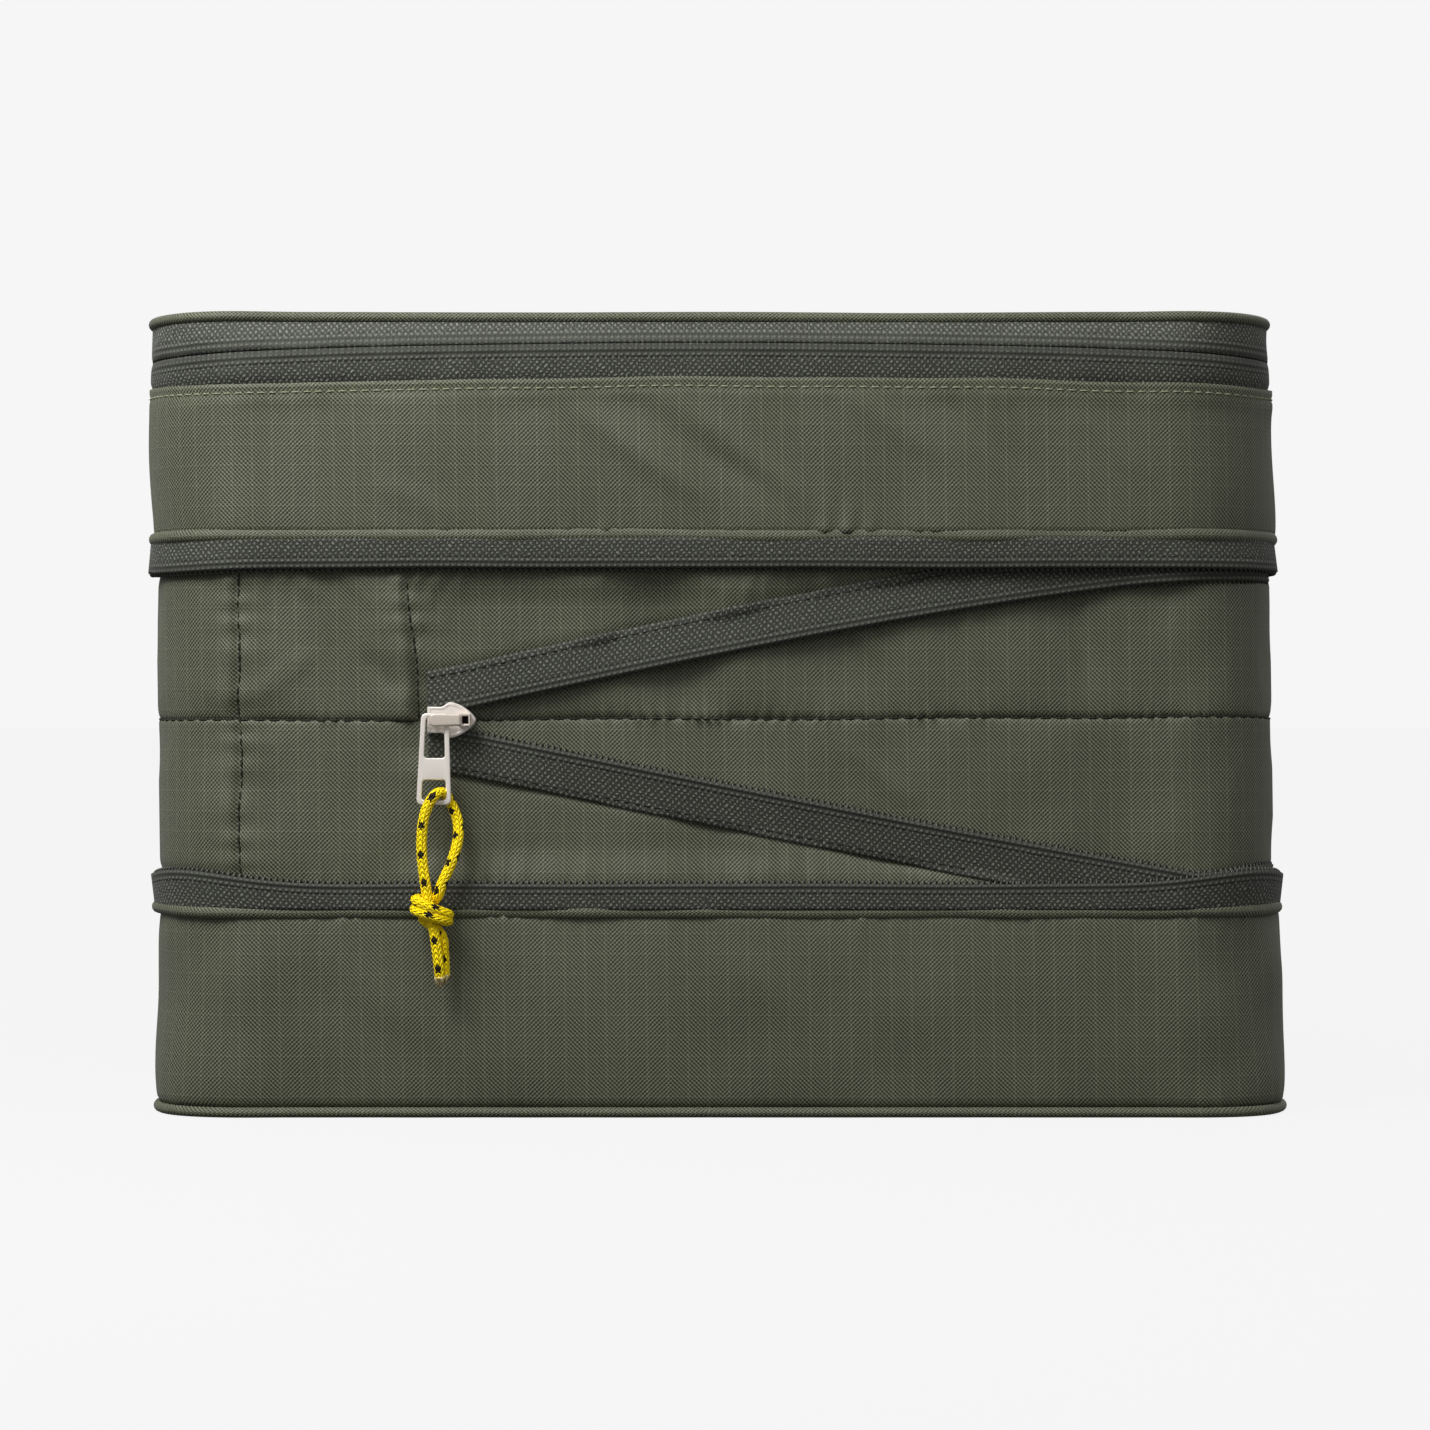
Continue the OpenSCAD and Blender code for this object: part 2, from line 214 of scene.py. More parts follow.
def crease(x, z, x0, z0, x1, z1, height, width):
    """One soft ridge from (x0, z0) to (x1, z1), fading at both ends."""
    run = math.hypot(x1 - x0, z1 - z0)
    ux, uz = (x1 - x0) / run, (z1 - z0) / run
    along = (x - x0) * ux + (z - z0) * uz
    across = -(x - x0) * uz + (z - z0) * ux
    fade = smooth(along / (0.35 * run)) * smooth((run - along) / (0.35 * run))
    return height * fade * np.exp(-(across / width) ** 2)


# ---- meshes ----


def make_mesh(name, verts, faces, uvs=None):
    """A smooth mesh from points in millimetres; uvs has one pair of millimetres per face corner."""
    me = bpy.data.meshes.new(name)
    verts, faces = np.asarray(verts, float).reshape(-1, 3), np.asarray(faces)
    me.from_pydata((verts * MM).tolist(), [], faces.tolist())
    if uvs is not None:
        layer = me.uv_layers.new(name="weave")
        layer.data.foreach_set("uv", np.asarray(uvs, np.float32).ravel())
    me.polygons.foreach_set("use_smooth", np.ones(len(me.polygons), bool))
    me.update()
    ob = bpy.data.objects.new(name, me)
    bpy.context.scene.collection.objects.link(ob)
    return ob


def grid_faces(n, m, loop_n, loop_m):
    i = np.arange(n if loop_n else n - 1)
    j = np.arange(m if loop_m else m - 1)
    i, j = [a.ravel() for a in np.meshgrid(i, j, indexing="ij")]
    i2, j2 = (i + 1) % n, (j + 1) % m
    return np.stack([i * m + j, i2 * m + j, i2 * m + j2, i * m + j2], -1)


def corner_uvs(faces, m, u, v):
    """The cloth coordinates at each face's four corners, from u[n + 1] and v[n + 1, m + 1]."""
    i, j = faces[:, 0] // m, faces[:, 0] % m
    corners = ((i, j), (i + 1, j), (i + 1, j + 1), (i, j + 1))
    return np.stack([np.stack([u[a], v[a, b]], -1) for a, b in corners], 1)


def grid_mesh(name, points, u, v, loop_n=False, loop_m=False):
    """A sheet through points[n, m]; u[n] and v[m] or v[n, m] are its cloth coordinates."""
    n, m = points.shape[:2]
    faces = grid_faces(n, m, loop_n, loop_m)
    u_all = np.append(u, u[0] + PERIM)
    v_all = np.broadcast_to(v, (n, m))
    v_all = np.concatenate([v_all, v_all[:, -1:] + (v_all[:, -1:] - v_all[:, -2:-1])], 1)
    v_all = np.concatenate([v_all, v_all[:1]], 0)
    return make_mesh(name, points, faces, corner_uvs(faces, m, u_all, v_all))


def thicken(ob, mm):
    mod = ob.modifiers.new("thickness", "SOLIDIFY")
    mod.thickness = mm * MM
    mod.offset = -1
    mod.use_even_offset = False


def finish_piece(ob, material, body, nodes=()):
    ob.data.materials.append(material)
    if body:
        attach(ob, body)
    if nodes:
        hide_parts(*nodes)
    return ob


def around(step):
    """Evenly spaced s all the way round."""
    return np.arange(round(PERIM / step)) * (PERIM / round(PERIM / step))


def around_fine_front(fine, coarse):
    """s all the way round, closer together over the front and its corners."""
    half = 158.0
    back = np.linspace(0, S_FRONT - half, round((S_FRONT - half) / coarse), endpoint=False)
    front = np.linspace(S_FRONT - half, S_FRONT + half, round(2 * half / fine), endpoint=False)
    rest = np.linspace(S_FRONT + half, PERIM, round((PERIM - S_FRONT - half) / coarse), endpoint=False)
    return np.concatenate([back, front, rest])


FINE = around(1.6)
SIDEWAYS = away_from_front(FINE)


def band(name, s, d, z, material, body, nodes, closed=True, thick=CLOTH_THICK, v=None):
    ob = grid_mesh(name, place(s, d, z), s, z if v is None else v, loop_n=closed)
    thicken(ob, thick)
    return finish_piece(ob, material, body, nodes)


def roll(name, d_mid, z_mid, r_d, r_z, body, node):
    """A folded edge: a soft rope of cloth that runs all the way round."""
    a = -np.arange(ROPE_SIDES) * TAU / ROPE_SIDES
    d_mid, z_mid, r_d = (np.broadcast_to(value, FINE.shape)[:, None] for value in (d_mid, z_mid, r_d))
    d = d_mid - r_d * np.cos(a)
    z = z_mid - r_z * np.sin(a)
    ob = grid_mesh(name, place(FINE, d, z), FINE, a * r_z, loop_n=True, loop_m=True)
    return finish_piece(ob, RIPSTOP, body, (node,))


def cap_ends(ob, rings, sides):
    """Closes the two ends of a tube that grid_mesh made."""
    bm = bmesh.new()
    bm.from_mesh(ob.data)
    bm.verts.ensure_lookup_table()
    last = (rings - 1) * sides
    bm.faces.new([bm.verts[k] for k in range(sides)])
    bm.faces.new([bm.verts[last + k] for k in range(sides - 1, -1, -1)])
    bmesh.ops.recalc_face_normals(bm, faces=bm.faces)
    bm.to_mesh(ob.data)
    bm.free()


def panel(name, inset, z_of, body, node, rings=36):
    """A cloth panel across the whole plan; z_of(x, y, r) gives its height, with r = 1 at the rim."""
    s = around(4)
    rim = place(s, inset + np.zeros(len(s)), 0, crooked=False)[:, :2]
    r = 1 - np.linspace(0, 1, rings) ** 1.25
    r[-1] = 0.01
    xy = rim[:, None, :] * r[None, :, None]
    z = z_of(xy[..., 0], xy[..., 1], r[None, :])
    points = np.concatenate([xy, z[..., None]], -1)
    points[..., 0] += lean(points[..., 2])
    faces = grid_faces(len(s), rings, True, False)
    flat = points.reshape(-1, 3)
    hub = len(flat)
    flat = np.vstack([flat, flat[rings - 1::rings].mean(0)])
    i = np.arange(len(s))
    inner = i * rings + rings - 1
    fan = np.stack([inner, np.roll(inner, -1), np.full(len(s), hub), np.full(len(s), hub)], -1)
    all_faces = faces.tolist() + [f[:3] for f in fan.tolist()]
    uvs = [flat[k, :2] for f in all_faces for k in f]
    ob = make_mesh(name, flat, np.array(all_faces, object), uvs)
    thicken(ob, CLOTH_THICK)
    return finish_piece(ob, RIPSTOP, body, (node,))


def length_along(path):
    return np.concatenate([[0], np.cumsum(np.linalg.norm(np.diff(path, axis=0), axis=1))])


def tube(name, path, radius, sides, lay=None):
    """A round tube along path[n, 3]; lay[n, 3] is a direction never along it."""
    path = np.asarray(path, float)
    t = np.gradient(path, axis=0)
    t /= np.linalg.norm(t, axis=1)[:, None]
    if lay is None:
        lay = np.zeros_like(path)
        side = np.cross(t[0], [0.0, 0.0, 1.0])
        side = side if np.linalg.norm(side) > 0.1 else np.array([1.0, 0.0, 0.0])
        for k in range(len(path)):
            side = side - side.dot(t[k]) * t[k]
            side /= np.linalg.norm(side)
            lay[k] = side
    a1 = lay - (lay * t).sum(1)[:, None] * t
    a1 /= np.linalg.norm(a1, axis=1)[:, None]
    a2 = np.cross(t, a1)
    turn = -np.arange(sides) * TAU / sides
    ring = a1[:, None, :] * np.cos(turn)[None, :, None] + a2[:, None, :] * np.sin(turn)[None, :, None]
    points = path[:, None, :] + radius * ring
    faces = grid_faces(len(path), sides, False, True)
    round_it = np.broadcast_to(np.arange(sides + 1) / sides, (len(path), sides + 1))
    ob = make_mesh(name, points, faces, corner_uvs(faces, sides, length_along(path), round_it))
    cap_ends(ob, len(path), sides)
    return ob


def stitch_row(name, path, out, material, body, pitch=STITCH_PITCH, length=2.2, radius=0.22):
    """Separate stitches along path; each one dips into the cloth at both ends."""
    path = np.asarray(path, float)
    run = length_along(path)
    starts = np.arange(0.5 * pitch, run[-1] - pitch, pitch)
    part = np.array([-0.5, -0.32, 0, 0.32, 0.5])
    bow = np.array([-0.3, 0.0, 0.08, 0.0, -0.3])
    size = np.array([0.5, 1, 1, 1, 0.5]) * radius
    where = starts[:, None] + part[None, :] * length
    mid = np.stack([np.interp(where, run, path[:, k]) for k in range(3)], -1)
    outs = np.stack([np.interp(where, run, out[:, k]) for k in range(3)], -1)
    mid = mid + outs * bow[None, :, None]
    t = np.gradient(mid, axis=1)
    t /= np.linalg.norm(t, axis=-1)[..., None]
    side = np.cross(t, outs)
    side /= np.linalg.norm(side, axis=-1)[..., None]
    sides = 5
    a = -np.arange(sides) * TAU / sides
    ring = outs[..., None, :] * np.cos(a)[:, None] + side[..., None, :] * np.sin(a)[:, None]
    points = mid[..., None, :] + size[None, :, None, None] * ring
    each = len(part) * sides
    faces = grid_faces(len(part), sides, False, True)
    caps = [list(range(sides)), list(range(each - 1, each - sides - 1, -1))]
    faces_all = [[k * each + c for c in f] for k in range(len(starts)) for f in faces.tolist() + caps]
    ob = make_mesh(name, points.reshape(-1, 3), np.array(faces_all, object))
    return finish_piece(ob, material, body)


def outward(s):
    _, _, nx, ny = outline(s)
    return np.stack([nx, ny, np.zeros_like(nx)], -1)


def coil(name, s, tip_z, up, d_mid, body, nodes):
    """A zip's nylon coil: one helix of monofilament whose heads lie at tip_z[n] along s[n].

    The two halves of a zip are half a pitch apart, so that their teeth fall between each other.
    """
    steps = 10
    turns = int((s[-1] - s[0]) / TOOTH_PITCH)
    k = np.arange(turns * steps + 1)
    at = s[0] + (k / steps + (0.5 if up > 0 else 0)) * TOOTH_PITCH
    angle = TAU * k / steps
    half_w, half_t, wire = 1.15, 0.42, 0.3
    z = np.interp(at, s, tip_z) + up * (wire + half_w * (1 - np.cos(angle)))
    d = np.interp(at, s, d_mid) + half_t * np.sin(angle)
    heading = np.cross([0, 0, 1.0], outward(at))
    ob = tube(name, place(at, d, z), wire, 5, lay=heading)
    return finish_piece(ob, COIL_NYLON, body, nodes)


# ---- materials ----


def srgb(r, g, b):
    def linear(c):
        c /= 255
        return c / 12.92 if c <= 0.04045 else ((c + 0.055) / 1.055) ** 2.4
    return (linear(r), linear(g), linear(b))


class Nodes:
    """Short calls for building one material's node tree."""

    def __init__(self, name):
        self.material = bpy.data.materials.new(name)
        self.material.use_nodes = True
        self.tree = self.material.node_tree
        self.shader = self.tree.nodes["Principled BSDF"]

    def new(self, kind, **settings):
        node = self.tree.nodes.new(kind)
        for key, value in settings.items():
            setattr(node, key, value)
        return node

    def link(self, value, socket):
        if isinstance(value, (int, float)):
            socket.default_value = value
        elif isinstance(value, tuple):
            socket.default_value = (*value, 1) if len(socket.default_value) == 4 else value
        else:
            self.tree.links.new(value, socket)

    def math(self, op, a, b=0.0, c=0.0):
        node = self.new("ShaderNodeMath", operation=op)
        for value, socket in zip((a, b, c), node.inputs):
            self.link(value, socket)
        return node.outputs[0]

    def times(self, a, b):
        return self.math("MULTIPLY", a, b)

    def total(self, start, *parts):
        """start plus the product of each (value, share) pair."""
        for value, share in parts:
            start = self.math("MULTIPLY_ADD", value, share, start)
        return start

    def cloth(self):
        """The piece's own cloth coordinates, in millimetres."""
        uv = self.new("ShaderNodeUVMap", uv_map="weave")
        xyz = self.new("ShaderNodeSeparateXYZ")
        self.link(uv.outputs[0], xyz.inputs[0])
        return xyz.outputs[0], xyz.outputs[1]

    def wave(self, value, pitch, shift=0.0):
        """A sine with the given pitch, -1 to 1."""
        return self.math("SINE", self.math("MULTIPLY_ADD", value, TAU / pitch, shift))

    def bell(self, off, width):
        """1 where off is 0, falling away smoothly over the width."""
        t = self.math("DIVIDE", off, width)
        return self.math("EXPONENT", self.times(self.times(t, t), -1.0))

    def ridge(self, value, pitch, width):
        """A thin bump of 0 to 1 once in every pitch."""
        return self.bell(self.math("PINGPONG", value, pitch / 2), width / 2)

    def bump_at(self, value, centre, width):
        """A bump of 0 to 1 round one value."""
        return self.bell(self.math("SUBTRACT", value, centre), width)

    def noise(self, scale, detail=2.0, vector=None):
        node = self.new("ShaderNodeTexNoise")
        node.inputs["Scale"].default_value = scale
        node.inputs["Detail"].default_value = detail
        if vector is None:
            vector = self.new("ShaderNodeTexCoord").outputs["Object"]
        self.link(vector, node.inputs["Vector"])
        return node.outputs["Fac"]

    def patches(self, scale, detail=2.0):
        """Noise about 0."""
        return self.math("SUBTRACT", self.noise(scale, detail), 0.5)

    def mix(self, factor, a, b):
        node = self.new("ShaderNodeMix", data_type="RGBA")
        self.link(factor, node.inputs[0])
        self.link(a, node.inputs[6])
        self.link(b, node.inputs[7])
        return node.outputs[2]

    def shade(self, colour, factor):
        """colour times a factor."""
        node = self.new("ShaderNodeMix", data_type="RGBA", blend_type="MULTIPLY")
        node.inputs[0].default_value = 1
        self.link(colour, node.inputs[6])
        grey = self.new("ShaderNodeCombineColor")
        for socket in grey.inputs:
            self.link(factor, socket)
        self.link(grey.outputs[0], node.inputs[7])
        return node.outputs[2]

    def bump(self, height, distance_mm, strength=1.0):
        node = self.new("ShaderNodeBump")
        node.inputs["Strength"].default_value = strength
        node.inputs["Distance"].default_value = distance_mm * MM
        self.link(height, node.inputs["Height"])
        self.link(node.outputs[0], self.shader.inputs["Normal"])

    def put(self, **inputs):
        """Sets the shader's inputs; each one is named as in Blender, with _ for a space."""
        for socket, value in inputs.items():
            self.link(value, self.shader.inputs[socket.replace("_", " ")])


CLOTH = srgb(96, 99, 80)
TAPE = srgb(74, 76, 69)
# The lid's zip tape is the same tape in a lighter colour: painted light, for the light it catches from above
# as it leans back.
LID_TAPE_PAINTED_LIGHT = srgb(85, 87, 80)
BINDING = srgb(52, 54, 46)
COIL = srgb(72, 73, 67)
CORD = srgb(255, 224, 0)
FLECK = srgb(34, 26, 10)
NICKEL = srgb(255, 247, 239)
CROWN = srgb(232, 219, 205)
METAL_SHARE = 0.25

CORD_D = 2.7
BRAID_COLUMNS = 12.0
BRAID_PITCH = 1.35
FLECK_PITCH = 7.2
FLECKS_ROUND = 3
WEAVE_PITCH = 1.08
RIP_PITCH = 5.1


def ripstop():
    """Coated ripstop nylon: a fine dotted weave, and a thicker thread every five millimetres."""
    n = Nodes("olive_ripstop")
    u, v = n.cloth()
    flip = n.times(n.wave(n.math("MULTIPLY_ADD", n.noise(7.0), 26.0, u), 27.0), 0.8)
    one = n.wave(n.math("ADD", u, v), WEAVE_PITCH)
    other = n.wave(n.math("SUBTRACT", u, v), WEAVE_PITCH)
    share = n.math("MINIMUM", n.math("MAXIMUM", n.math("ADD", flip, 0.5), 0.36), 0.64)
    weave = n.total(n.times(one, share), (other, n.math("SUBTRACT", 1.0, share)))
    upright = n.ridge(u, RIP_PITCH, 0.5)
    level = n.ridge(v, RIP_PITCH, 0.45)
    patchy, broad = n.patches(45.0, 4.0), n.patches(14.0, 3.0)
    tone = n.total(1.0, (weave, 1.05), (upright, 0.2), (level, 0.1), (broad, 0.22), (patchy, 0.25))
    n.put(Base_Color=n.shade(CLOTH, tone), Roughness=n.total(0.52, (weave, 0.05)), Specular_IOR_Level=0.4,
          Sheen_Weight=0.08, Sheen_Roughness=0.5)
    n.bump(n.total(weave, (upright, 0.9), (level, 0.5)), 0.07, 0.8)
    return n.material


def tape_cloth(name, colour):
    """Knitted zip tape: staggered loops, and two rows of coil stitches beside the teeth."""
    n = Nodes(name)
    u, v = n.cloth()
    drift = n.times(n.patches(520.0), 1.5)
    u_off, v_off = n.math("ADD", u, drift), n.math("SUBTRACT", v, drift)
    loops = n.math("MAXIMUM", n.times(n.wave(u_off, 1.5), n.wave(v_off, 1.7)), 0.0)
    strong = n.total(0.3, (n.noise(900.0, 1.0), 1.6))
    inner = n.math("SUBTRACT", 1.0, n.bump_at(v, 1.7, 1.9))
    field = n.times(n.times(loops, strong), inner)
    ribs = n.wave(u, 0.85)
    dash = n.total(0.5, (n.wave(u, TOOTH_PITCH), 0.5))
    row_1 = n.times(n.bump_at(v, 1.5, 0.32), dash)
    row_2 = n.times(n.bump_at(v, 3.0, 0.32), n.math("SUBTRACT", 1.0, dash))
    rows = n.math("ADD", row_1, row_2)
    # The two grooves beside the coil stitches darken the tape's colour: painted shade in the grooves, besides
    # their bump.
    groove_and_shade = n.math("ADD", n.bump_at(v, 2.25, 0.3), n.bump_at(v, 3.7, 0.25))
    tone = n.total(0.66, (field, 2.3), (rows, 1.2), (ribs, 0.12), (groove_and_shade, -0.22), (n.patches(60.0), 0.25))
    n.put(Base_Color=n.shade(colour, tone), Roughness=0.68, Specular_IOR_Level=0.3, Sheen_Weight=0.12,
          Sheen_Roughness=0.45)
    n.bump(n.total(field, (rows, 1.2), (groove_and_shade, -0.5)), 0.2, 0.9)
    return n.material


def plain_thread(name, colour, rough=0.7):
    """Sewing thread and other small plain parts: a flat colour with a fine grain."""
    n = Nodes(name)
    fine = n.noise(1500.0)
    n.put(Base_Color=n.shade(colour, n.total(0.7, (fine, 0.6))), Roughness=rough, Specular_IOR_Level=0.3)
    n.bump(fine, 0.05, 0.5)
    return n.material


def binding_cloth():
    """Grosgrain binding with fine ribs across it."""
    n = Nodes("binding")
    ribs = n.wave(n.cloth()[0], 0.9)
    n.put(Base_Color=n.shade(BINDING, n.total(1.0, (ribs, 0.15))), Roughness=0.8)
    n.bump(ribs, 0.08, 0.6)
    return n.material


def coil_plastic():
    """The coil's nylon wire: dark, with a dull shine."""
    n = Nodes("coil_nylon")
    fine = n.noise(400.0)
    n.put(Base_Color=n.shade(COIL, n.total(0.75, (fine, 0.5))), Roughness=n.total(0.3, (fine, 0.12)))
    return n.material


def metal(name, colour, rough, brushed):
    """Die-cast metal with a satin or a brushed finish."""
    n = Nodes(name)
    stretch = n.new("ShaderNodeMapping")
    stretch.inputs["Scale"].default_value = (0.15, 1, 1) if brushed else (1, 1, 1)
    n.link(n.new("ShaderNodeTexCoord").outputs["Object"], stretch.inputs["Vector"])
    grain = n.noise(2600.0, 3.0, stretch.outputs[0])
    cast = n.noise(160.0)
    n.put(Base_Color=n.shade(colour, n.total(0.94, (cast, 0.12))), Metallic=METAL_SHARE,
          Roughness=n.total(rough - 0.08, (grain, 0.16)))
    n.bump(grain, 0.02, 0.35 if brushed else 0.2)
    return n.material


def braided_cord():
    """Braided yellow cord with a dark fleck where a dark strand comes to the surface."""
    n = Nodes("yellow_cord")
    along, around_it = n.cloth()
    column = n.math("PINGPONG", n.times(around_it, BRAID_COLUMNS), 1.0)
    braid = n.math("SINE", n.total(n.times(along, TAU / BRAID_PITCH), (column, 0.8 * TAU)))
    column_gap_and_shade = n.math("COSINE", n.times(column, TAU))
    girth = math.pi * CORD_D
    spot = n.math("ROUND", n.times(around_it, float(FLECKS_ROUND)))
    down = n.total(along, (spot, FLECK_PITCH / FLECKS_ROUND))
    off_along = n.math("PINGPONG", down, FLECK_PITCH / 2)
    off_round = n.math("PINGPONG", n.times(around_it, girth), girth / FLECKS_ROUND / 2)
    far = n.math("ADD", n.math("POWER", n.math("DIVIDE", off_along, 1.05), 2.0),
                 n.math("POWER", n.math("DIVIDE", off_round, 0.9), 2.0))
    dark = n.new("ShaderNodeMapRange")
    n.link(n.total(far, (braid, 0.45)), dark.inputs["Value"])
    dark.inputs["From Min"].default_value = 1.05
    dark.inputs["From Max"].default_value = 0.85
    # The yellow is lighter along each strand and darker between strands and columns: painted highlight and
    # shade of the braid, besides the bump. The tone starts at 1.5, so the cord reflects more light than falls
    # on it: painted extra light. The flecks are real dark strands.
    yellow_with_painted_light = n.shade(CORD, n.total(1.5, (braid, 0.25), (column_gap_and_shade, -0.06)))
    n.put(Base_Color=n.mix(dark.outputs[0], yellow_with_painted_light, FLECK), Roughness=0.5, Specular_IOR_Level=0.35)
    n.bump(n.total(braid, (column_gap_and_shade, -0.4)), 0.2, 1.0)
    return n.material


RIPSTOP = ripstop()
TAPE_CLOTH = tape_cloth("zip_tape", TAPE)
# A lighter copy of the zip tape for the lid: painted light from above.
LID_TAPE_CLOTH_PAINTED_LIGHT = tape_cloth("lid_zip_tape_painted_light", LID_TAPE_PAINTED_LIGHT)
BINDING_CLOTH = binding_cloth()
COIL_NYLON = coil_plastic()
THREAD = plain_thread("light_thread", srgb(152, 155, 128))
# Dark thread: the real seam stitches, and also the unbroken dark tubes along the gusset's seams, which are
# painted shadow of the seam grooves.
DARK_THREAD_AND_SEAM_SHADE = plain_thread("dark_thread_and_seam_shade", srgb(38, 38, 30))
TAPE_THREAD = plain_thread("tape_thread", srgb(48, 49, 45))
SATIN_NICKEL = metal("satin_nickel", NICKEL, 0.34, False)
BRUSHED_CROWN = metal("brushed_crown", CROWN, 0.38, True)
YELLOW_CORD = braided_cord()
# A near-black block set in each slider's lock window: painted shade for the dark hollow under the lock.
PAINTED_SHADE_DARK = plain_thread("painted_shade_dark", srgb(22, 19, 16), 0.6)
MELTED = plain_thread("melted_cord_end", srgb(232, 214, 160), 0.45)

# ---- camera, light and floor ----


PALE = 0.922
FLOOR_GLOW = 0.925


def camera():
    data = bpy.data.cameras.new("camera")
    distance, seen = 1000.0, 357.5
    data.sensor_width = 36
    data.lens = data.sensor_width * distance / seen
    data.clip_start, data.clip_end = 0.05, 60
    ob = bpy.data.objects.new("camera", data)
    ob.location = (0, (FRONT - distance) * MM, Z_CENTRE * MM + 0.00075)
    ob.rotation_euler = (math.pi / 2, 0, 0)
    bpy.context.scene.collection.objects.link(ob)
    bpy.context.scene.camera = ob


def area_light(name, place_m, aim_m, size, power):
    data = bpy.data.lights.new(name, "AREA")
    data.shape = "RECTANGLE"
    data.size, data.size_y = size
    data.energy = power
    ob = bpy.data.objects.new(name, data)
    ob.location = place_m
    ob.rotation_euler = (Vector(aim_m) - Vector(place_m)).to_track_quat("-Z", "Y").to_euler()
    bpy.context.scene.collection.objects.link(ob)


def studio():
    """A pale sweep: an even floor and background, a soft key from the upper left, weak fill below."""
    world = bpy.data.worlds.new("studio")
    world.use_nodes = True
    bpy.context.scene.world = world
    tree = world.node_tree
    back = tree.nodes["Background"]
    coord = tree.nodes.new("ShaderNodeTexCoord")
    split = tree.nodes.new("ShaderNodeSeparateXYZ")
    ramp = tree.nodes.new("ShaderNodeMapRange")
    ramp.inputs["From Min"].default_value, ramp.inputs["From Max"].default_value = -0.5, 0.8
    ramp.inputs["To Min"].default_value, ramp.inputs["To Max"].default_value = 0.05, 0.56
    path = tree.nodes.new("ShaderNodeLightPath")
    mix = tree.nodes.new("ShaderNodeMix")
    mix.inputs["B"].default_value = PALE
    tree.links.new(coord.outputs["Generated"], split.inputs[0])
    tree.links.new(split.outputs[2], ramp.inputs["Value"])
    tree.links.new(ramp.outputs[0], mix.inputs["A"])
    tree.links.new(path.outputs["Is Camera Ray"], mix.inputs["Factor"])
    tree.links.new(mix.outputs[0], back.inputs["Strength"])
    back.inputs["Color"].default_value = (1, 1, 1, 1)

    me = bpy.data.meshes.new("floor")
    half = 30.0
    corners = [(-half, -half, 0), (half, -half, 0), (half, half, 0), (-half, half, 0)]
    me.from_pydata(corners, [], [(0, 1, 2, 3)])
    floor = bpy.data.objects.new("floor", me)
    floor.location.z = -0.0002
    bpy.context.scene.collection.objects.link(floor)
    n = Nodes("floor")
    n.put(Base_Color=(0.8, 0.8, 0.8), Roughness=0.9, Specular_IOR_Level=0.0)
    glow = n.new("ShaderNodeEmission")
    glow.inputs["Strength"].default_value = FLOOR_GLOW
    blend = n.new("ShaderNodeMixShader")
    blend.inputs[0].default_value = 0.95
    n.tree.links.new(n.shader.outputs[0], blend.inputs[1])
    n.tree.links.new(glow.outputs[0], blend.inputs[2])
    n.tree.links.new(blend.outputs[0], n.tree.nodes["Material Output"].inputs[0])
    me.materials.append(n.material)
    floor.visible_diffuse = False
    floor.visible_glossy = False

    area_light("key", (-0.31, -0.5, 0.58), aim_m=(-0.06, -0.17, 0.13), size=(0.3, 0.3), power=3.45)
    area_light("fill", (1.2, -1.3, 0.4), aim_m=(0, 0, 0.1), size=(1.2, 1.2), power=1.1)
    area_light("back", (0.3, 1.6, 1.2), aim_m=(0, 0, 0.1), size=(1.6, 1.0), power=6)


bpy.context.scene.view_settings.view_transform = "Standard"
camera()
studio()

# ---- cord ----

PIVOT = np.array([SLIDER_X - 4.2, FRONT, SLIDER_Z])
# Points in millimetres from the pivot: the loop goes from the knot through the tab's lower
# window and back, as in the CAD, and the tails hang from the knot.
LOOP = [
    (-1.4, -5.6, -43.5), (-2.0, -5.5, -39.5), (-2.7, -5.3, -33.5), (-2.6, -5.1, -27),
    (-1.6, -4.9, -22.2), (0.2, -4.6, -19.0), (1.9, -2.9, -18.1), (3.4, -1.2, -19.2),
    (4.8, -0.9, -22), (6.0, -1.4, -25.5), (6.1, -3, -30), (4.6, -4.6, -35.5), (2.2, -5.5, -41),
    (1.4, -5.6, -43.5),
]
TAIL_1 = [(1.9, -6.0, -64.2), (1.5, -6.4, -60.0), (0.9, -6.4, -55.5), (0.2, -6.1, -51.5), (-0.6, -5.6, -47.5)]
TAIL_2 = [(2.0, -4.7, -53.4), (2.7, -4.2, -58.5), (2.9, -4.3, -63.9)]


def knot_turns():
    """The second leg winds round the first, from the top of the knot to its foot."""
    turns, steps = 2.2, 11
    wide, deep = 4.2, 2.9
    top, foot = -45.4, -49.9
    points = []
    for k in range(1, int(turns * steps) + 1):
        t = k / (turns * steps)
        a = 0.35 * math.pi + TAU * turns * t
        swell = 0.9 + 0.1 * math.sin(math.pi * t)
        x, y = wide * swell * math.cos(a), deep * swell * math.sin(a)
        points.append((x - 0.2, -5.6 + y, top + (foot - top) * t - (0.42 - 0.26 * t) * x))
    return points


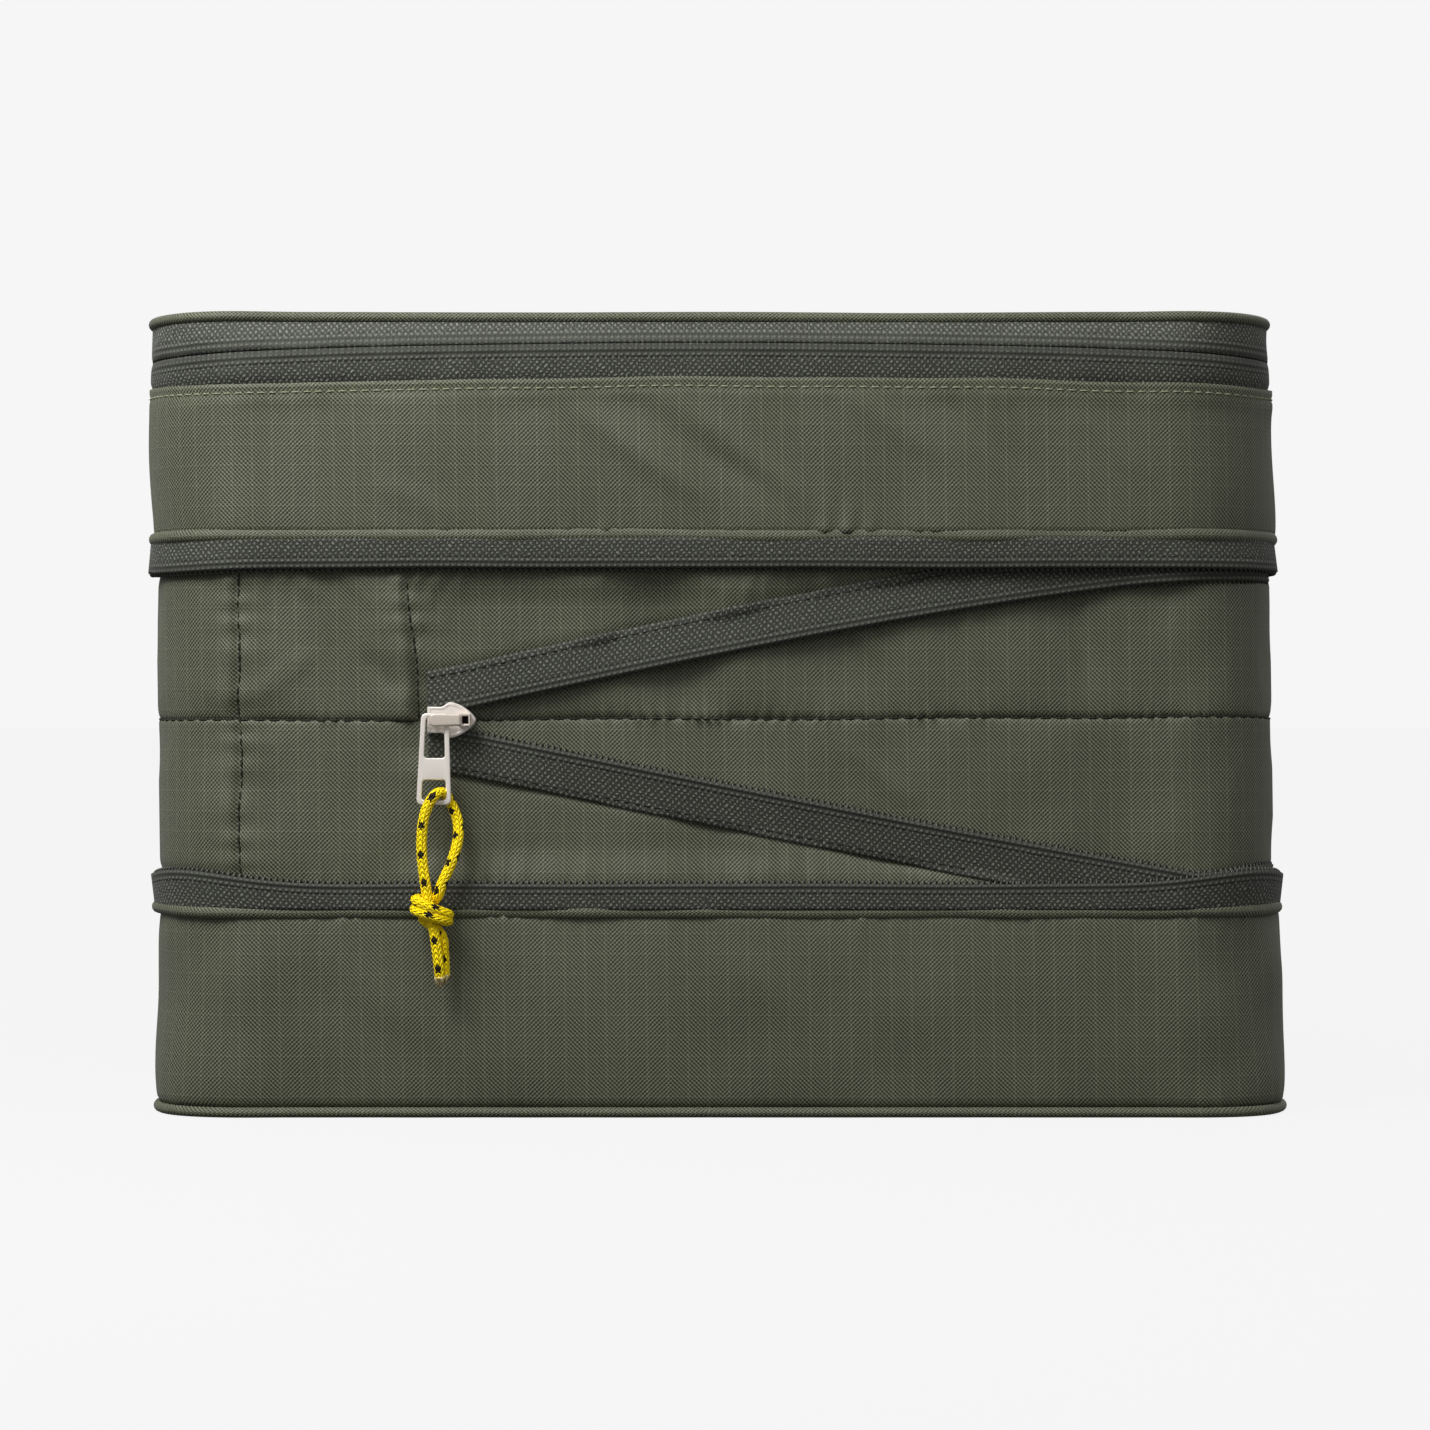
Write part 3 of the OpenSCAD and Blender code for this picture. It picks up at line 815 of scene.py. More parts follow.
def curve_through(points, steps=6):
    """A Catmull-Rom curve through given points."""
    p = np.array([points[0], *points, points[-1]], float)
    line = []
    for i in range(1, len(p) - 2):
        a, b, c, d = p[i - 1:i + 3]
        for t in np.arange(steps) / steps:
            line.append(0.5 * (2 * b + (c - a) * t + (2 * a - 5 * b + 4 * c - d) * t**2
                               + (3 * b - a - 3 * c + d) * t**3))
    line.append(p[-2])
    return np.array(line)


def pull_cord():
    points = TAIL_1 + LOOP + knot_turns() + TAIL_2
    path = curve_through(points) + PIVOT
    ob = tube("pull_cord_braid", path, CORD_D / 2, 20)
    finish_piece(ob, YELLOW_CORD, "compression_pull",
                 ("pull_cord", "pull_cord_knot", "pull_cord_tails"))
    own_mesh(ob)
    return path


CORD_PATH = pull_cord()


def melted_end(name, tip, inward):
    """The frayed, heat-sealed end of a tail: a ragged bead."""
    axis = (tip - inward) / np.linalg.norm(tip - inward)
    side = np.cross(axis, [0, 1.0, 0])
    side /= np.linalg.norm(side)
    other = np.cross(axis, side)
    rng = np.random.default_rng(5)
    rows, sides = 7, 16
    ragged = 1 + 0.16 * rng.standard_normal(sides)
    points = []
    for k in range(rows):
        t = k / (rows - 1)
        r = CORD_D / 2 * (1.04 - 0.75 * t**2.2)
        for j in range(sides):
            a = -TAU * j / sides
            reach = 1.9 * t * (1 + 2 * (ragged[j] - 1))
            points.append(tip - 0.5 * axis + axis * reach
                          + r * (1 + (ragged[j] - 1) * t) * (math.cos(a) * side + math.sin(a) * other))
    ob = make_mesh(name, points, grid_faces(rows, sides, False, True))
    cap_ends(ob, rows, sides)
    finish_piece(ob, MELTED, "compression_pull")
    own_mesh(ob)


melted_end("cord_end_front", CORD_PATH[0], CORD_PATH[2])
melted_end("cord_end_rear", CORD_PATH[-1], CORD_PATH[-3])

# ---- base and lower wall ----


def lower_part():
    z = np.linspace(Z_PIPING - 0.2, Z_LOWER_SEAM + INTO_WELT, 36)
    s, zz = FINE[:, None], z[None, :]
    t = (zz - z[0]) / (z[-1] - z[0])
    right = smooth((front_x(s) - 60) / 60) * smooth((500 - front_x(s)) / 60)
    belly = (0.9 + 0.5 * SIDEWAYS[:, None] + 0.5 * right) * np.sin(math.pi * t) ** 0.55
    d = 1.0 - belly + (0.22 + 0.2 * SIDEWAYS[:, None]) * crumple(s, zz, 11, 22, 70)
    d = d - puckers(s, zz, z[-1], 12, 0.5, 5) - puckers(s, zz, z[0], 15, 0.45, 4)
    d = d - 3.6 * near_corner(s) * (1 - smooth(zz / 30))
    for x0, z0, x1, z1, height in ((-105, 44, -60, 12, 0.35), (-5, 47, 30, 18, 0.3)):
        d = d - crease(front_x(s), zz, x0, z0, x1, z1, height, 5)
    d = d + 0.4 * np.exp(-(z[-1] - zz) / 0.7) + 0.7 * np.exp(-(zz - z[0]) / 0.7)
    wall = band("cloth_lower_wall", FINE, d, zz, RIPSTOP, "base", ("lower_wall",))

    mid = (Z_LOWER_SEAM + Z_GUSSET_0) / 2 + 0.15 * ruffle(FINE, 22, 30, 150)
    roll("cloth_lower_welt", 0.9 - 0.5 * SIDEWAYS + 0.15 * ruffle(FINE, 21, 25, 120), mid,
         0.95 + 0.7 * SIDEWAYS, WELT_HALF, "base", "lower_welt")
    roll("cloth_bottom_piping", 0.85 - 3.7 * near_corner(FINE) + 0.1 * ruffle(FINE, 23, 20, 90), 1.32,
         1.35, 1.3, "base", "bottom_piping")

    def floor_height(x, y, r):
        return 0.9 + 0.25 * np.sin(x / 31.0) * np.cos(y / 43.0) * (1 - r**6)

    bottom = panel("cloth_base_panel", 1.6, floor_height, "base", "base_panel")
    ring_binding("bound_seam_bottom", 1.6, 7.2, 1.55, "base", "base_seam_binding")
    ring_binding("bound_seam_lower", Z_LOWER_SEAM - 6, Z_LOWER_SEAM, 1.9, "base", "lower_seam_binding")


def ring_binding(name, z0, z1, d_at, body, node, front_extra=0.0):
    """A soft strip of binding over a seam's raw edge, inside."""
    s = around(3)
    d_at = d_at + front_extra * (1 - away_from_front(s)[:, None])
    z = np.linspace(z0, z1, 5)[None, :] + 0.2 * ruffle(s, 31, 25, 90)[:, None]
    d = d_at + 0.5 + 0.3 * np.sin(math.pi * (z - z0) / (z1 - z0)) + 0.2 * ruffle(s, 32, 18, 60)[:, None]
    band(name, s, d, z, BINDING_CLOTH, body, (node,), thick=0.6)


# ---- upper wall, hem and main zip ----

ZIP_S = np.linspace(HINGE_HALF, PERIM - HINGE_HALF, round((PERIM - 2 * HINGE_HALF) / 1.6))


def main_line(s):
    """The main zip's closing line sags towards the front corners."""
    x = front_x(s)
    return Z_MAIN + 1.0 * np.exp(-(x / 70) ** 2) - 2.2 * np.exp(-((np.abs(x) - 150) / 45) ** 2)


def upper_part():
    z = np.linspace(Z_UPPER_SEAM - INTO_WELT, Z_HEM + 0.1, 34)
    s, zz = FINE[:, None], z[None, :]
    t = (zz - z[0]) / (z[-1] - z[0])
    x = front_x(s)
    belly = 0.45 + 0.75 * SIDEWAYS[:, None]
    d = 0.45 + 0.45 * SIDEWAYS[:, None] - belly * np.sin(math.pi * t) ** 0.35 - 0.5 * smooth((t - 0.8) / 0.2)
    d = d + (0.22 + 0.15 * SIDEWAYS[:, None]) * crumple(s, zz, 41, 20, 60)
    d = d - puckers(s, zz, z[0], 42, 0.55, 4.5, 6, 18) - puckers(s, zz, Z_HEM - 2.5, 45, 0.5, 4)
    for x0, z0, x1, z1, height in (
        (-42, 183, 4, 150, 0.75), (-30, 184, 22, 152, -0.5), (-12, 182, 30, 149, 0.6),
        (28, 184, 62, 162, 0.45), (52, 184, 84, 158, -0.35), (-88, 160, -60, 149, 0.3),
        (86, 182, 112, 156, 0.35),
    ):
        d = d - crease(x, zz, x0, z0, x1, z1, height, 3.2)
    d = d + 0.45 * np.exp(-(zz - z[0]) / 0.5)
    near_hem = smooth((t - 0.82) / 0.14)
    d = d * (1 - near_hem) + (-0.15 + 0.12 * ruffle(FINE, 46, 12, 60)[:, None]) * near_hem
    d = d + 0.35 * np.exp(-((zz - (Z_HEM - HEM_FOLD)) / 0.6) ** 2)
    x_front = front_x(FINE)
    rise = 1.0 * np.exp(-((x_front - 15) / 70) ** 2) - 0.9 * np.exp(-((np.abs(x_front) - 135) / 40) ** 2)
    height = zz + (0.2 * ruffle(FINE, 47, 40, 160) + rise)[:, None] * smooth((t - 0.5) / 0.5)
    wall = band("cloth_upper_wall", FINE, d, height, RIPSTOP, "upper", ("upper_wall",))

    row = int(np.argmin(np.abs(z - (Z_HEM - HEM_FOLD))))
    points = place(FINE, d[:, row] - 0.12, height[:, row])
    stitch_row("hem_topstitch", points, outward(FINE), THREAD, "upper")

    mid = (Z_GUSSET_1 + Z_UPPER_SEAM) / 2 + 0.15 * ruffle(FINE, 52, 30, 150)
    roll("cloth_upper_welt", 0.9 - 0.4 * SIDEWAYS + 0.15 * ruffle(FINE, 51, 25, 120), mid,
         0.88 + 0.67 * SIDEWAYS, WELT_HALF, "upper", "upper_welt")
    ring_binding("bound_seam_upper", Z_UPPER_SEAM, Z_UPPER_SEAM + 6, 1.9, "upper", "upper_seam_binding")

    line = main_line(ZIP_S)
    rows = np.linspace(0, 1, 10)[None, :]
    z = (Z_HEM - 3.0) * (1 - rows) + (line - TAPE_GAP)[:, None] * rows
    from_line = line[:, None] - z
    d = 0.5 + 0.35 * np.exp(-from_line / 0.8) - 0.25 * np.sin(math.pi * rows)
    d = d + 0.18 * ruffle(ZIP_S, 55, 14, 70)[:, None] * np.sin(math.pi * rows)
    d = d + 0.9 * (1 - smooth((z - Z_HEM + 2.0) / 3.5))
    band("tape_main_wall", ZIP_S, d, z, TAPE_CLOTH, "upper", ("main_tape_wall",), closed=False,
         thick=0.45, v=from_line)
    depth = np.full(len(ZIP_S), 1.65)
    coil("coil_main_wall", ZIP_S, line - MAIN_HEADS, -1, depth, "upper", ("main_coil_wall",))

    lap = 3.0
    s = np.linspace(-HINGE_HALF - lap, HINGE_HALF + lap, 112)
    z = np.linspace(Z_HEM - 0.5, Z_RIM + 0.6, 12)[None, :]
    d = 0.1 + 0.12 * ruffle(s, 58, 20, 80)[:, None]
    flap = grid_mesh("cloth_lid_hinge", place(s, d, z), s, z)
    thicken(flap, CLOTH_THICK)
    finish_piece(flap, RIPSTOP, None, ("hinge_strip",))
    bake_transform(flap)

    tab_s = np.linspace(-8, 8, 14)
    tab_z = np.linspace(Z_HEM - 6, Z_HEM + 4, 8)[None, :]
    d = 3.0 + 0.15 * np.cos(tab_s[:, None])
    for name, middle, nodes in (
        ("zip_end_tab_left", HINGE_HALF, ("main_zip_end_tabs",)),
        ("zip_end_tab_right", PERIM - HINGE_HALF, ()),
    ):
        band(name, middle + tab_s, d, tab_z, RIPSTOP, "upper", nodes, closed=False,
             thick=0.8)


# ---- lid ----

LID_SLOPE = 4.2


def lid():
    line = main_line(ZIP_S)
    rows = np.linspace(0, 1, 8)[None, :]
    z = (line + TAPE_GAP)[:, None] * (1 - rows) + (Z_RIM + 0.2) * rows
    from_line = z - line[:, None]
    front = 1 - away_from_front(ZIP_S)[:, None]
    d = 0.45 + 0.35 * np.exp(-from_line / 0.8) + (0.4 + LID_SLOPE * front) * rows**1.15
    d = d + 0.14 * ruffle(ZIP_S, 61, 14, 70)[:, None] * np.sin(math.pi * rows)
    # The lid's tape uses the lighter copy of the tape cloth: painted light from above.
    band("tape_main_lid", ZIP_S, d, z, LID_TAPE_CLOTH_PAINTED_LIGHT, "lid", ("main_tape_lid",), closed=False,
         thick=0.45, v=from_line)
    coil("coil_main_lid", ZIP_S, line + MAIN_HEADS, 1, 1.65 + 1.7 * front[:, 0], "lid", ("main_coil_lid",))
    wobble = 0.12 * ruffle(FINE, 63, 20, 100) + (LID_SLOPE + 0.35) * (1 - SIDEWAYS)
    roll("cloth_lid_piping", 1.25 + wobble, Z_RIM + 1.45 + 0.15 * ruffle(FINE, 64, 60, 300),
         1.15 + 0.3 * SIDEWAYS, 1.35, "lid", "lid_piping")

    def top_height(x, y, r):
        turn = (np.arctan2(y, x) / TAU + 0.5) * PERIM
        sag = 1.3 * (1 - r**2)
        ripple = 0.75 * crumple(x, y, 65, 45, 120) * (1 - r**6)
        edge = 0.8 * ruffle(turn, 66, 14, 45) * np.exp(-(1 - r) * 14) * (1 - r**30)
        return np.minimum(Z_RIM + 1.9 - sag + ripple + edge, Z_TOP - 0.3)

    inset = 1.4 + (LID_SLOPE + 0.2) * (1 - away_from_front(around(4)))
    top = panel("cloth_lid_panel", inset, top_height, "lid", "lid_panel", rings=60)
    ring_binding("bound_seam_lid", Z_RIM - 1.6, Z_RIM + 0.6, 1.7, "lid", "lid_seam_binding", LID_SLOPE)


# ---- expansion gusset ----

SEAM_LINE_STITCH = 3.9
ON_CLOTH = 0.65
BEHIND_COIL = 1.95
SPIRAL_X0 = -72.0
SPIRAL_X1 = 150.0
MOUTH_X = SLIDER_X + 6
MOUTH_HALF = 2.4


def spiral_edge(x, up):
    """Height of the spiral's toothed edge: it leaves the slider and joins the level run."""
    mouth = MOUTH_HALF * (x - SPIRAL_X0 + 1) / (MOUTH_X - SPIRAL_X0 + 1)
    if up > 0:
        a = np.clip((x - MOUTH_X) / 200, 0, 1)
        z = SLIDER_Z + MOUTH_HALF + 34 * (0.5 * a + 0.5 * np.sin(a * math.pi / 2))
        level = Z_RING_UPPER - 2.4
        z = np.where(z > level - 3, level - 3 * np.exp(-(z - level + 3) / 3), z)
        return np.where(x < MOUTH_X, SLIDER_Z + mouth, z)
    a = np.clip((x - MOUTH_X) / 180, 0, 1)
    z = SLIDER_Z - MOUTH_HALF - 35 * (0.9 * a + 0.1 * np.sin(a * math.pi / 2))
    z = z + 1.6 * smooth((x - 120) / 25)
    return np.where(x < MOUTH_X, SLIDER_Z - mouth, z)


def fold_down(ob):
    """Gives the piece its own copy of its mesh."""
    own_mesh(ob)


def gusset_depth(s, z):
    """How far in the gusset's cloth lies: full between its seams, pinched at each of them."""
    side = away_from_front(s)
    x = front_x(s)
    upper = z > Z_CENTRE
    t = np.where(upper, (z - Z_CENTRE) / (Z_GUSSET_1 - Z_CENTRE), (z - Z_GUSSET_0) / (Z_CENTRE - Z_GUSSET_0))
    full = np.sin(math.pi * np.clip(t, 0, 1)) ** 0.6
    left = smooth((-72 - x) / np.where(upper, 6, 16)) * (1 - side)
    near_seam = np.exp(-np.abs(z - Z_CENTRE) / 2.0)
    up = np.where(upper, 1, -1)
    sewn = np.where(upper, spiral_edge(x, 1), spiral_edge(x, -1)) + up * HALF_TAPE
    past_tape = smooth((up * (z - sewn) + 5) / 8) * (1 - left)
    ring_tip = np.where(upper, Z_RING_UPPER, Z_RING_LOWER)
    near_ring = smooth((9 - np.abs(z - ring_tip)) / 9)
    front = 5.9 - 2.4 * left - (0.5 + 0.3 * left) * (0.6 + 0.4 * full)
    front = front + np.where(upper, 0.35, 0.1) * near_seam
    front = front - past_tape * (1.5 + 1.3 * near_ring)
    sides = 1.15 - 0.3 * full
    d = front * (1 - side) + sides * side
    gathered = np.where(x < SLIDER_X, 0.3, 1.0) * (1 - 0.6 * side)
    reach = np.where(upper, 2.0, 1.2)
    d = d - gathered * puckers(s, z, Z_CENTRE, 71, 1.15, reach, 4, 9, 0.6)
    swell = 0.8 * ruffle(s + 0.2 * (z - Z_CENTRE), 73, 26, 60, 12) * full * (1 - side)
    d = d - swell * np.where(upper, 1.0, 0.5)
    seam_pull = 1 - 0.7 * side
    d = d - seam_pull * puckers(s, z, Z_GUSSET_1 - 6, 75, 0.8, 5, 8, 22)
    d = d - seam_pull * puckers(s, z, Z_GUSSET_0 + 4, 78, 0.7, 5, 8, 22)
    d = d + (0.25 + 0.08 * side) * crumple(s, z, 81, 18, 60)
    d = d + np.where(upper, 0.75, 0.45) * np.exp(-np.abs(z - Z_CENTRE) / np.where(upper, 0.7, 0.35))
    for x0, z0, x1, z1, height in (
        (-112, 143, -97, 129, 0.6), (-98, 143, -76, 122, 0.7), (-90, 118, -76, 104, -0.5),
        (-118, 104, -98, 118, 0.4), (20, 142, 44, 112, 0.7), (58, 138, 70, 108, 0.6),
        (88, 134, 96, 106, -0.6), (30, 96, 52, 76, 0.4),
    ):
        d = d - crease(x, z, x0, z0, x1, z1, height, 2.6)
    d = np.maximum(d, ring_tape_depth(s) - 0.5 * side + BEHIND_COIL)
    from_seam = np.minimum(z - Z_GUSSET_0, Z_GUSSET_1 - z)
    behind = 1 - smooth((from_seam - 5) / 6)
    d = d * (1 - behind * side) + 2.4 * behind * side
    sewn_in = 1 - smooth((from_seam - 0.3) / (5.5 - 2.5 * side))
    d = d * (1 - sewn_in) + 1.6 * sewn_in
    for x0, z0, z1 in upright_seams():
        along = smooth((z - z0) / 2) * smooth((z1 - z) / 2)
        off = x - seam_x(x0, z)
        d = d + along * (1.3 * np.exp(-np.abs(off) / 0.9) - 0.6 * np.exp(-((off + 2.4) / 2.2) ** 2))
        fold = np.sin(TAU * z / 7.3 + 1.7 * np.sin(z / 5.1))
        d = d + along * 0.35 * fold * np.exp(-np.abs(off) / 4.0)
    return d


def upright_seams():
    """X, lower end and upper end of each upright seam on the front."""
    yield INSERT_X0, Z_GUSSET_0, Z_GUSSET_1 - 7
    yield INSERT_X1 - 1, Z_CENTRE, Z_GUSSET_1 - 7


def seam_x(x0, z):
    """The seams wander a little, and lean."""
    tilt = -0.075 * (z - Z_CENTRE) if x0 > INSERT_X0 + 1 else 0.02 * (z - Z_CENTRE)
    return x0 + tilt + 0.35 * np.sin(z / 4.3) + np.where(z < Z_CENTRE, 0.5, 0.0) * (x0 < INSERT_X0 + 1)


def centre_line(s):
    """The centre seam drifts down a little between the slider and the left side."""
    dip = 0.9 * smooth((-10 - front_x(s)) / 60) * (1 - away_from_front(s))
    return Z_CENTRE + 0.35 * ruffle(s, 91, 60, 260, 8) - dip


def gusset():
    s = around_fine_front(0.9, 2.0)
    line = centre_line(s)
    foot = np.full(len(s), Z_GUSSET_0 - GUSSET_INTO_WELT)
    head = np.full(len(s), Z_GUSSET_1 + GUSSET_INTO_WELT)
    for name, low, high, nodes in (
        ("cloth_gusset_lower", foot, line, ("gusset_panel_lower",)),
        ("cloth_gusset_upper", line, head, ("gusset_panel_upper", "gusset_panel_insert")),
    ):
        rows = np.linspace(0, 1, 46)[None, :]
        rows = 0.5 - 0.5 * np.cos(math.pi * rows) * (0.6 + 0.4 * np.cos(math.pi * rows) ** 2)
        z = low[:, None] * (1 - rows) + high[:, None] * rows
        d = gusset_depth(s[:, None], z + (Z_CENTRE - line)[:, None] * np.exp(-np.abs(z - Z_CENTRE) / 6))
        ob = band(name, s, d, z, RIPSTOP, "base", nodes, thick=0.4)
        fold_down(ob)

    depth = gusset_depth(s, np.full(len(s), Z_CENTRE))
    # An unbroken thin dark tube along the centre seam: painted shadow of the seam's groove. The stitches
    # below are real thread.
    seam_shadow_tube = tube("centre_seam_painted_shadow", place(s, depth + 0.1, line), 0.22, 6)
    fold_down(finish_piece(seam_shadow_tube, DARK_THREAD_AND_SEAM_SHADE, "base"))
    row = stitch_row("centre_seam_stitch", place(s, depth - 0.25, line), outward(s), DARK_THREAD_AND_SEAM_SHADE, "base",
                     pitch=SEAM_LINE_STITCH, length=3.0, radius=0.27)
    fold_down(row)
    for k, (x0, z0, z1) in enumerate(upright_seams()):
        z = np.linspace(z0, z1, 90)
        at = S_FRONT + seam_x(x0, z)
        depth = gusset_depth(at, z)
        # An unbroken thin dark tube along each upright seam: painted shadow of its groove. The stitches below
        # are real thread.
        seam_shadow_tube = tube(f"upright_seam_painted_shadow_{k}", place(at, depth + 0.05, z), 0.3, 6)
        fold_down(finish_piece(seam_shadow_tube, DARK_THREAD_AND_SEAM_SHADE, "base"))
        row = stitch_row(f"upright_seam_stitch_{k}", place(at, depth - 0.35, z), outward(at), DARK_THREAD_AND_SEAM_SHADE,
                         "base", pitch=2.75, length=2.6, radius=0.26)
        fold_down(row)

    s = around(3)
    rows = np.linspace(-1, 1, 5)[None, :]
    d = gusset_depth(s, np.full(len(s), Z_CENTRE))[:, None] + 1.3 + 0.4 * (1 - rows**2)
    z = centre_line(s)[:, None] + 2.2 * rows
    fold_down(band("bound_seam_gusset", s, d, z, BINDING_CLOTH, "base",
                   ("gusset_centre_binding",)))


# ---- compression zip ----


def ring_tape_depth(s):
    """The level tapes lie flat on the front and stand a little proud elsewhere."""
    return 0.2 - 0.75 * away_from_front(s)


def level_zip(name, up, z_welt, z_tip, body, tape_node, coil_node):
    """One level run of the compression zip: half a tape that comes out from under a welt."""
    s = FINE
    side = away_from_front(s)
    pinch = np.exp(-((front_x(s) - 138) / 16) ** 2)
    rise = 3.2 if up > 0 else 1.0 * (front_x(s) < 0)
    tip = z_tip + up * 0.5 + 0.1 * ruffle(s, 101, 50, 200, 8) + up * rise * near_corner(s, 22)
    edge = tip - up
    rows = np.linspace(0, 1, 9)[None, :]
    root = z_welt - up
    z = edge[:, None] * (1 - rows) + root * rows
    from_tip = np.abs(z - tip[:, None])
    d = ring_tape_depth(s)[:, None] + (0.25 * rows - 0.5 * (1 - rows)) * side[:, None]
    d = d - 0.7 * pinch[:, None] * (1 - rows)
    d = d + 0.12 * ruffle(s, 105 + up, 14, 60)[:, None] * (1 - rows)
    band("tape_" + name, s, d, z, TAPE_CLOTH, body, (tape_node,), thick=0.3, v=from_tip)
    at = np.linspace(0, PERIM, len(s) + 1)
    wrap = np.append(d[:, 0], d[0, 0])
    coil("coil_" + name, at, np.append(tip, tip[0]), -up, wrap + COIL_BEHIND, body, (coil_node,))


def spiral_depth(x, s):
    """The spiral lies deep in the gusset, and comes forward to the level tapes at the right corner."""
    forward = smooth((x - 80) / 50)
    return 2.75 * (1 - forward) + (ring_tape_depth(s) + 1.15) * forward


def spiral_zip(up, body, nodes):
    name = "upper" if up > 0 else "lower"
    x = np.linspace(SPIRAL_X0, SPIRAL_X1, 280)
    s = S_FRONT + x
    tip = spiral_edge(x, up)
    slope = np.gradient(tip, x)
    reach = (HALF_TAPE - 0.3) * np.sqrt(1 + slope**2)
    rows = np.linspace(0, 1, 13)[None, :]
    z = tip[:, None] + up * (1.0 + rows * (reach[:, None] - 0.5))
    limit = Z_GUSSET_1 - 0.8 if up > 0 else Z_GUSSET_0 + 0.8
    from_tip = np.abs(z - tip[:, None]) / np.sqrt(1 + slope**2)[:, None]
    z = np.minimum(z, limit) if up > 0 else np.maximum(z, limit)
    lift = 0.5 * np.exp(-rows * 3) * np.sin(np.clip((x + 60) / 150, 0, 1) * math.pi)[:, None]
    d = spiral_depth(x, s)[:, None] - lift + 0.12 * ruffle(s, 111 + up, 16, 70)[:, None]
    d = d + 0.9 * rows * smooth((x + 60) / 30)[:, None] * (1 - smooth((x - 90) / 30))[:, None]
    d = d - 0.5 * smooth((x - 118) / 18)[:, None] * np.exp(-rows * 6)
    d = np.minimum(d, gusset_depth(s[:, None], z) - ON_CLOTH)
    ob = grid_mesh("tape_spiral_" + name, place(s, d, z), x / np.cos(np.arctan(slope).mean()), from_tip)
    thicken(ob, CLOTH_THICK)
    if up < 0:
        ob.data.flip_normals()
    finish_piece(ob, TAPE_CLOTH, body, nodes[:1])
    fold_down(ob)
    fold_down(coil("coil_spiral_" + name, s, tip, up, d[:, 0] + COIL_BEHIND, body, nodes[1:]))

    sewn = x < (60 if up > 0 else 66)
    line = tip + up * (reach - 1.2)
    depth = d[:, -2] - 0.1
    points = place(s[sewn], depth[sewn], line[sewn])
    row = stitch_row("spiral_topstitch_" + name, points, outward(s[sewn]), TAPE_THREAD, body,
                     pitch=2.6, length=2.0, radius=0.16)
    fold_down(row)


# ---- sliders and pulls ----


def rounded(points, radius, steps=6):
    """A polygon with its corners rounded by short curves; radius is one value or one per corner."""
    points = [np.array(p, float) for p in points]
    radii = radius if hasattr(radius, "__len__") else [radius] * len(points)
    out = []
    for k, (p, r) in enumerate(zip(points, radii)):
        before, after = points[k - 1] - p, points[(k + 1) % len(points)] - p
        r0 = min(r, 0.49 * np.linalg.norm(before))
        r1 = min(r, 0.49 * np.linalg.norm(after))
        a = p + before / np.linalg.norm(before) * r0
        b = p + after / np.linalg.norm(after) * r1
        for t in np.linspace(0, 1, steps):
            out.append((1 - t) ** 2 * a + 2 * t * (1 - t) * p + t**2 * b)
    return out


def plate_mesh(outlines, y0, thick, edge, rows=3):
    """A flat part drawn in X and Z, with rounded edges, between local depths y0 and y0 + thick."""
    curve = bpy.data.curves.new("plate", "CURVE")
    curve.dimensions = "2D"
    curve.fill_mode = "BOTH"
    curve.extrude = (thick / 2 - edge) * MM
    curve.bevel_depth = edge * MM
    curve.bevel_resolution = rows
    curve.offset = -edge * MM
    for points in outlines:
        spline = curve.splines.new("POLY")
        spline.points.add(len(points) - 1)
        for point, (x, z) in zip(spline.points, points):
            point.co = (x * MM, z * MM, 0, 1)
        spline.use_cyclic_u = True
    holder = bpy.data.objects.new("plate", curve)
    bpy.context.scene.collection.objects.link(holder)
    bpy.context.view_layer.update()
    me = bpy.data.meshes.new_from_object(holder.evaluated_get(bpy.context.evaluated_depsgraph_get()))
    bpy.data.objects.remove(holder)
    bm = bmesh.new()
    bm.from_mesh(me)
    bmesh.ops.remove_doubles(bm, verts=bm.verts, dist=1e-7)
    for v in bm.verts:
        x, y, z = v.co
        v.co = (x, -z + (y0 + thick / 2) * MM, y)
    bmesh.ops.recalc_face_normals(bm, faces=bm.faces)
    bm.to_mesh(me)
    bm.free()
    return me


def box_mesh(lo, hi, edge):
    """A block with rounded edges between two local corners."""
    outline_2d = rounded([(lo[0], lo[2]), (hi[0], lo[2]), (hi[0], hi[2]), (lo[0], hi[2])], edge * 1.5, 4)
    return plate_mesh([outline_2d], lo[1], hi[1] - lo[1], edge, 2)


def join_meshes(parts):
    bm = bmesh.new()
    for me in parts:
        bm.from_mesh(me)
        bpy.data.meshes.remove(me)
    out = bpy.data.meshes.new("joined")
    bm.to_mesh(out)
    bm.free()
    return out


def put_hardware(name, me, where, material, body, nodes=()):
    """Moves a part from the slider's own frame to its place; where is (matrix rows, origin in mm)."""
    turn, origin = where
    co = np.zeros(len(me.vertices) * 3)
    me.vertices.foreach_get("co", co)
    co = co.reshape(-1, 3) @ np.array(turn, float).T + np.array(origin) * MM
    me.vertices.foreach_set("co", co.ravel())
    if np.linalg.det(np.array(turn, float)) < 0:
        me.flip_normals()
    me.polygons.foreach_set("use_smooth", np.ones(len(me.polygons), bool))
    me.name = name
    me.update()
    ob = bpy.data.objects.new(name, me)
    bpy.context.scene.collection.objects.link(ob)
    soften = ob.modifiers.new("corners", "EDGE_SPLIT")
    soften.split_angle = math.radians(50)
    return finish_piece(ob, material, body, nodes)


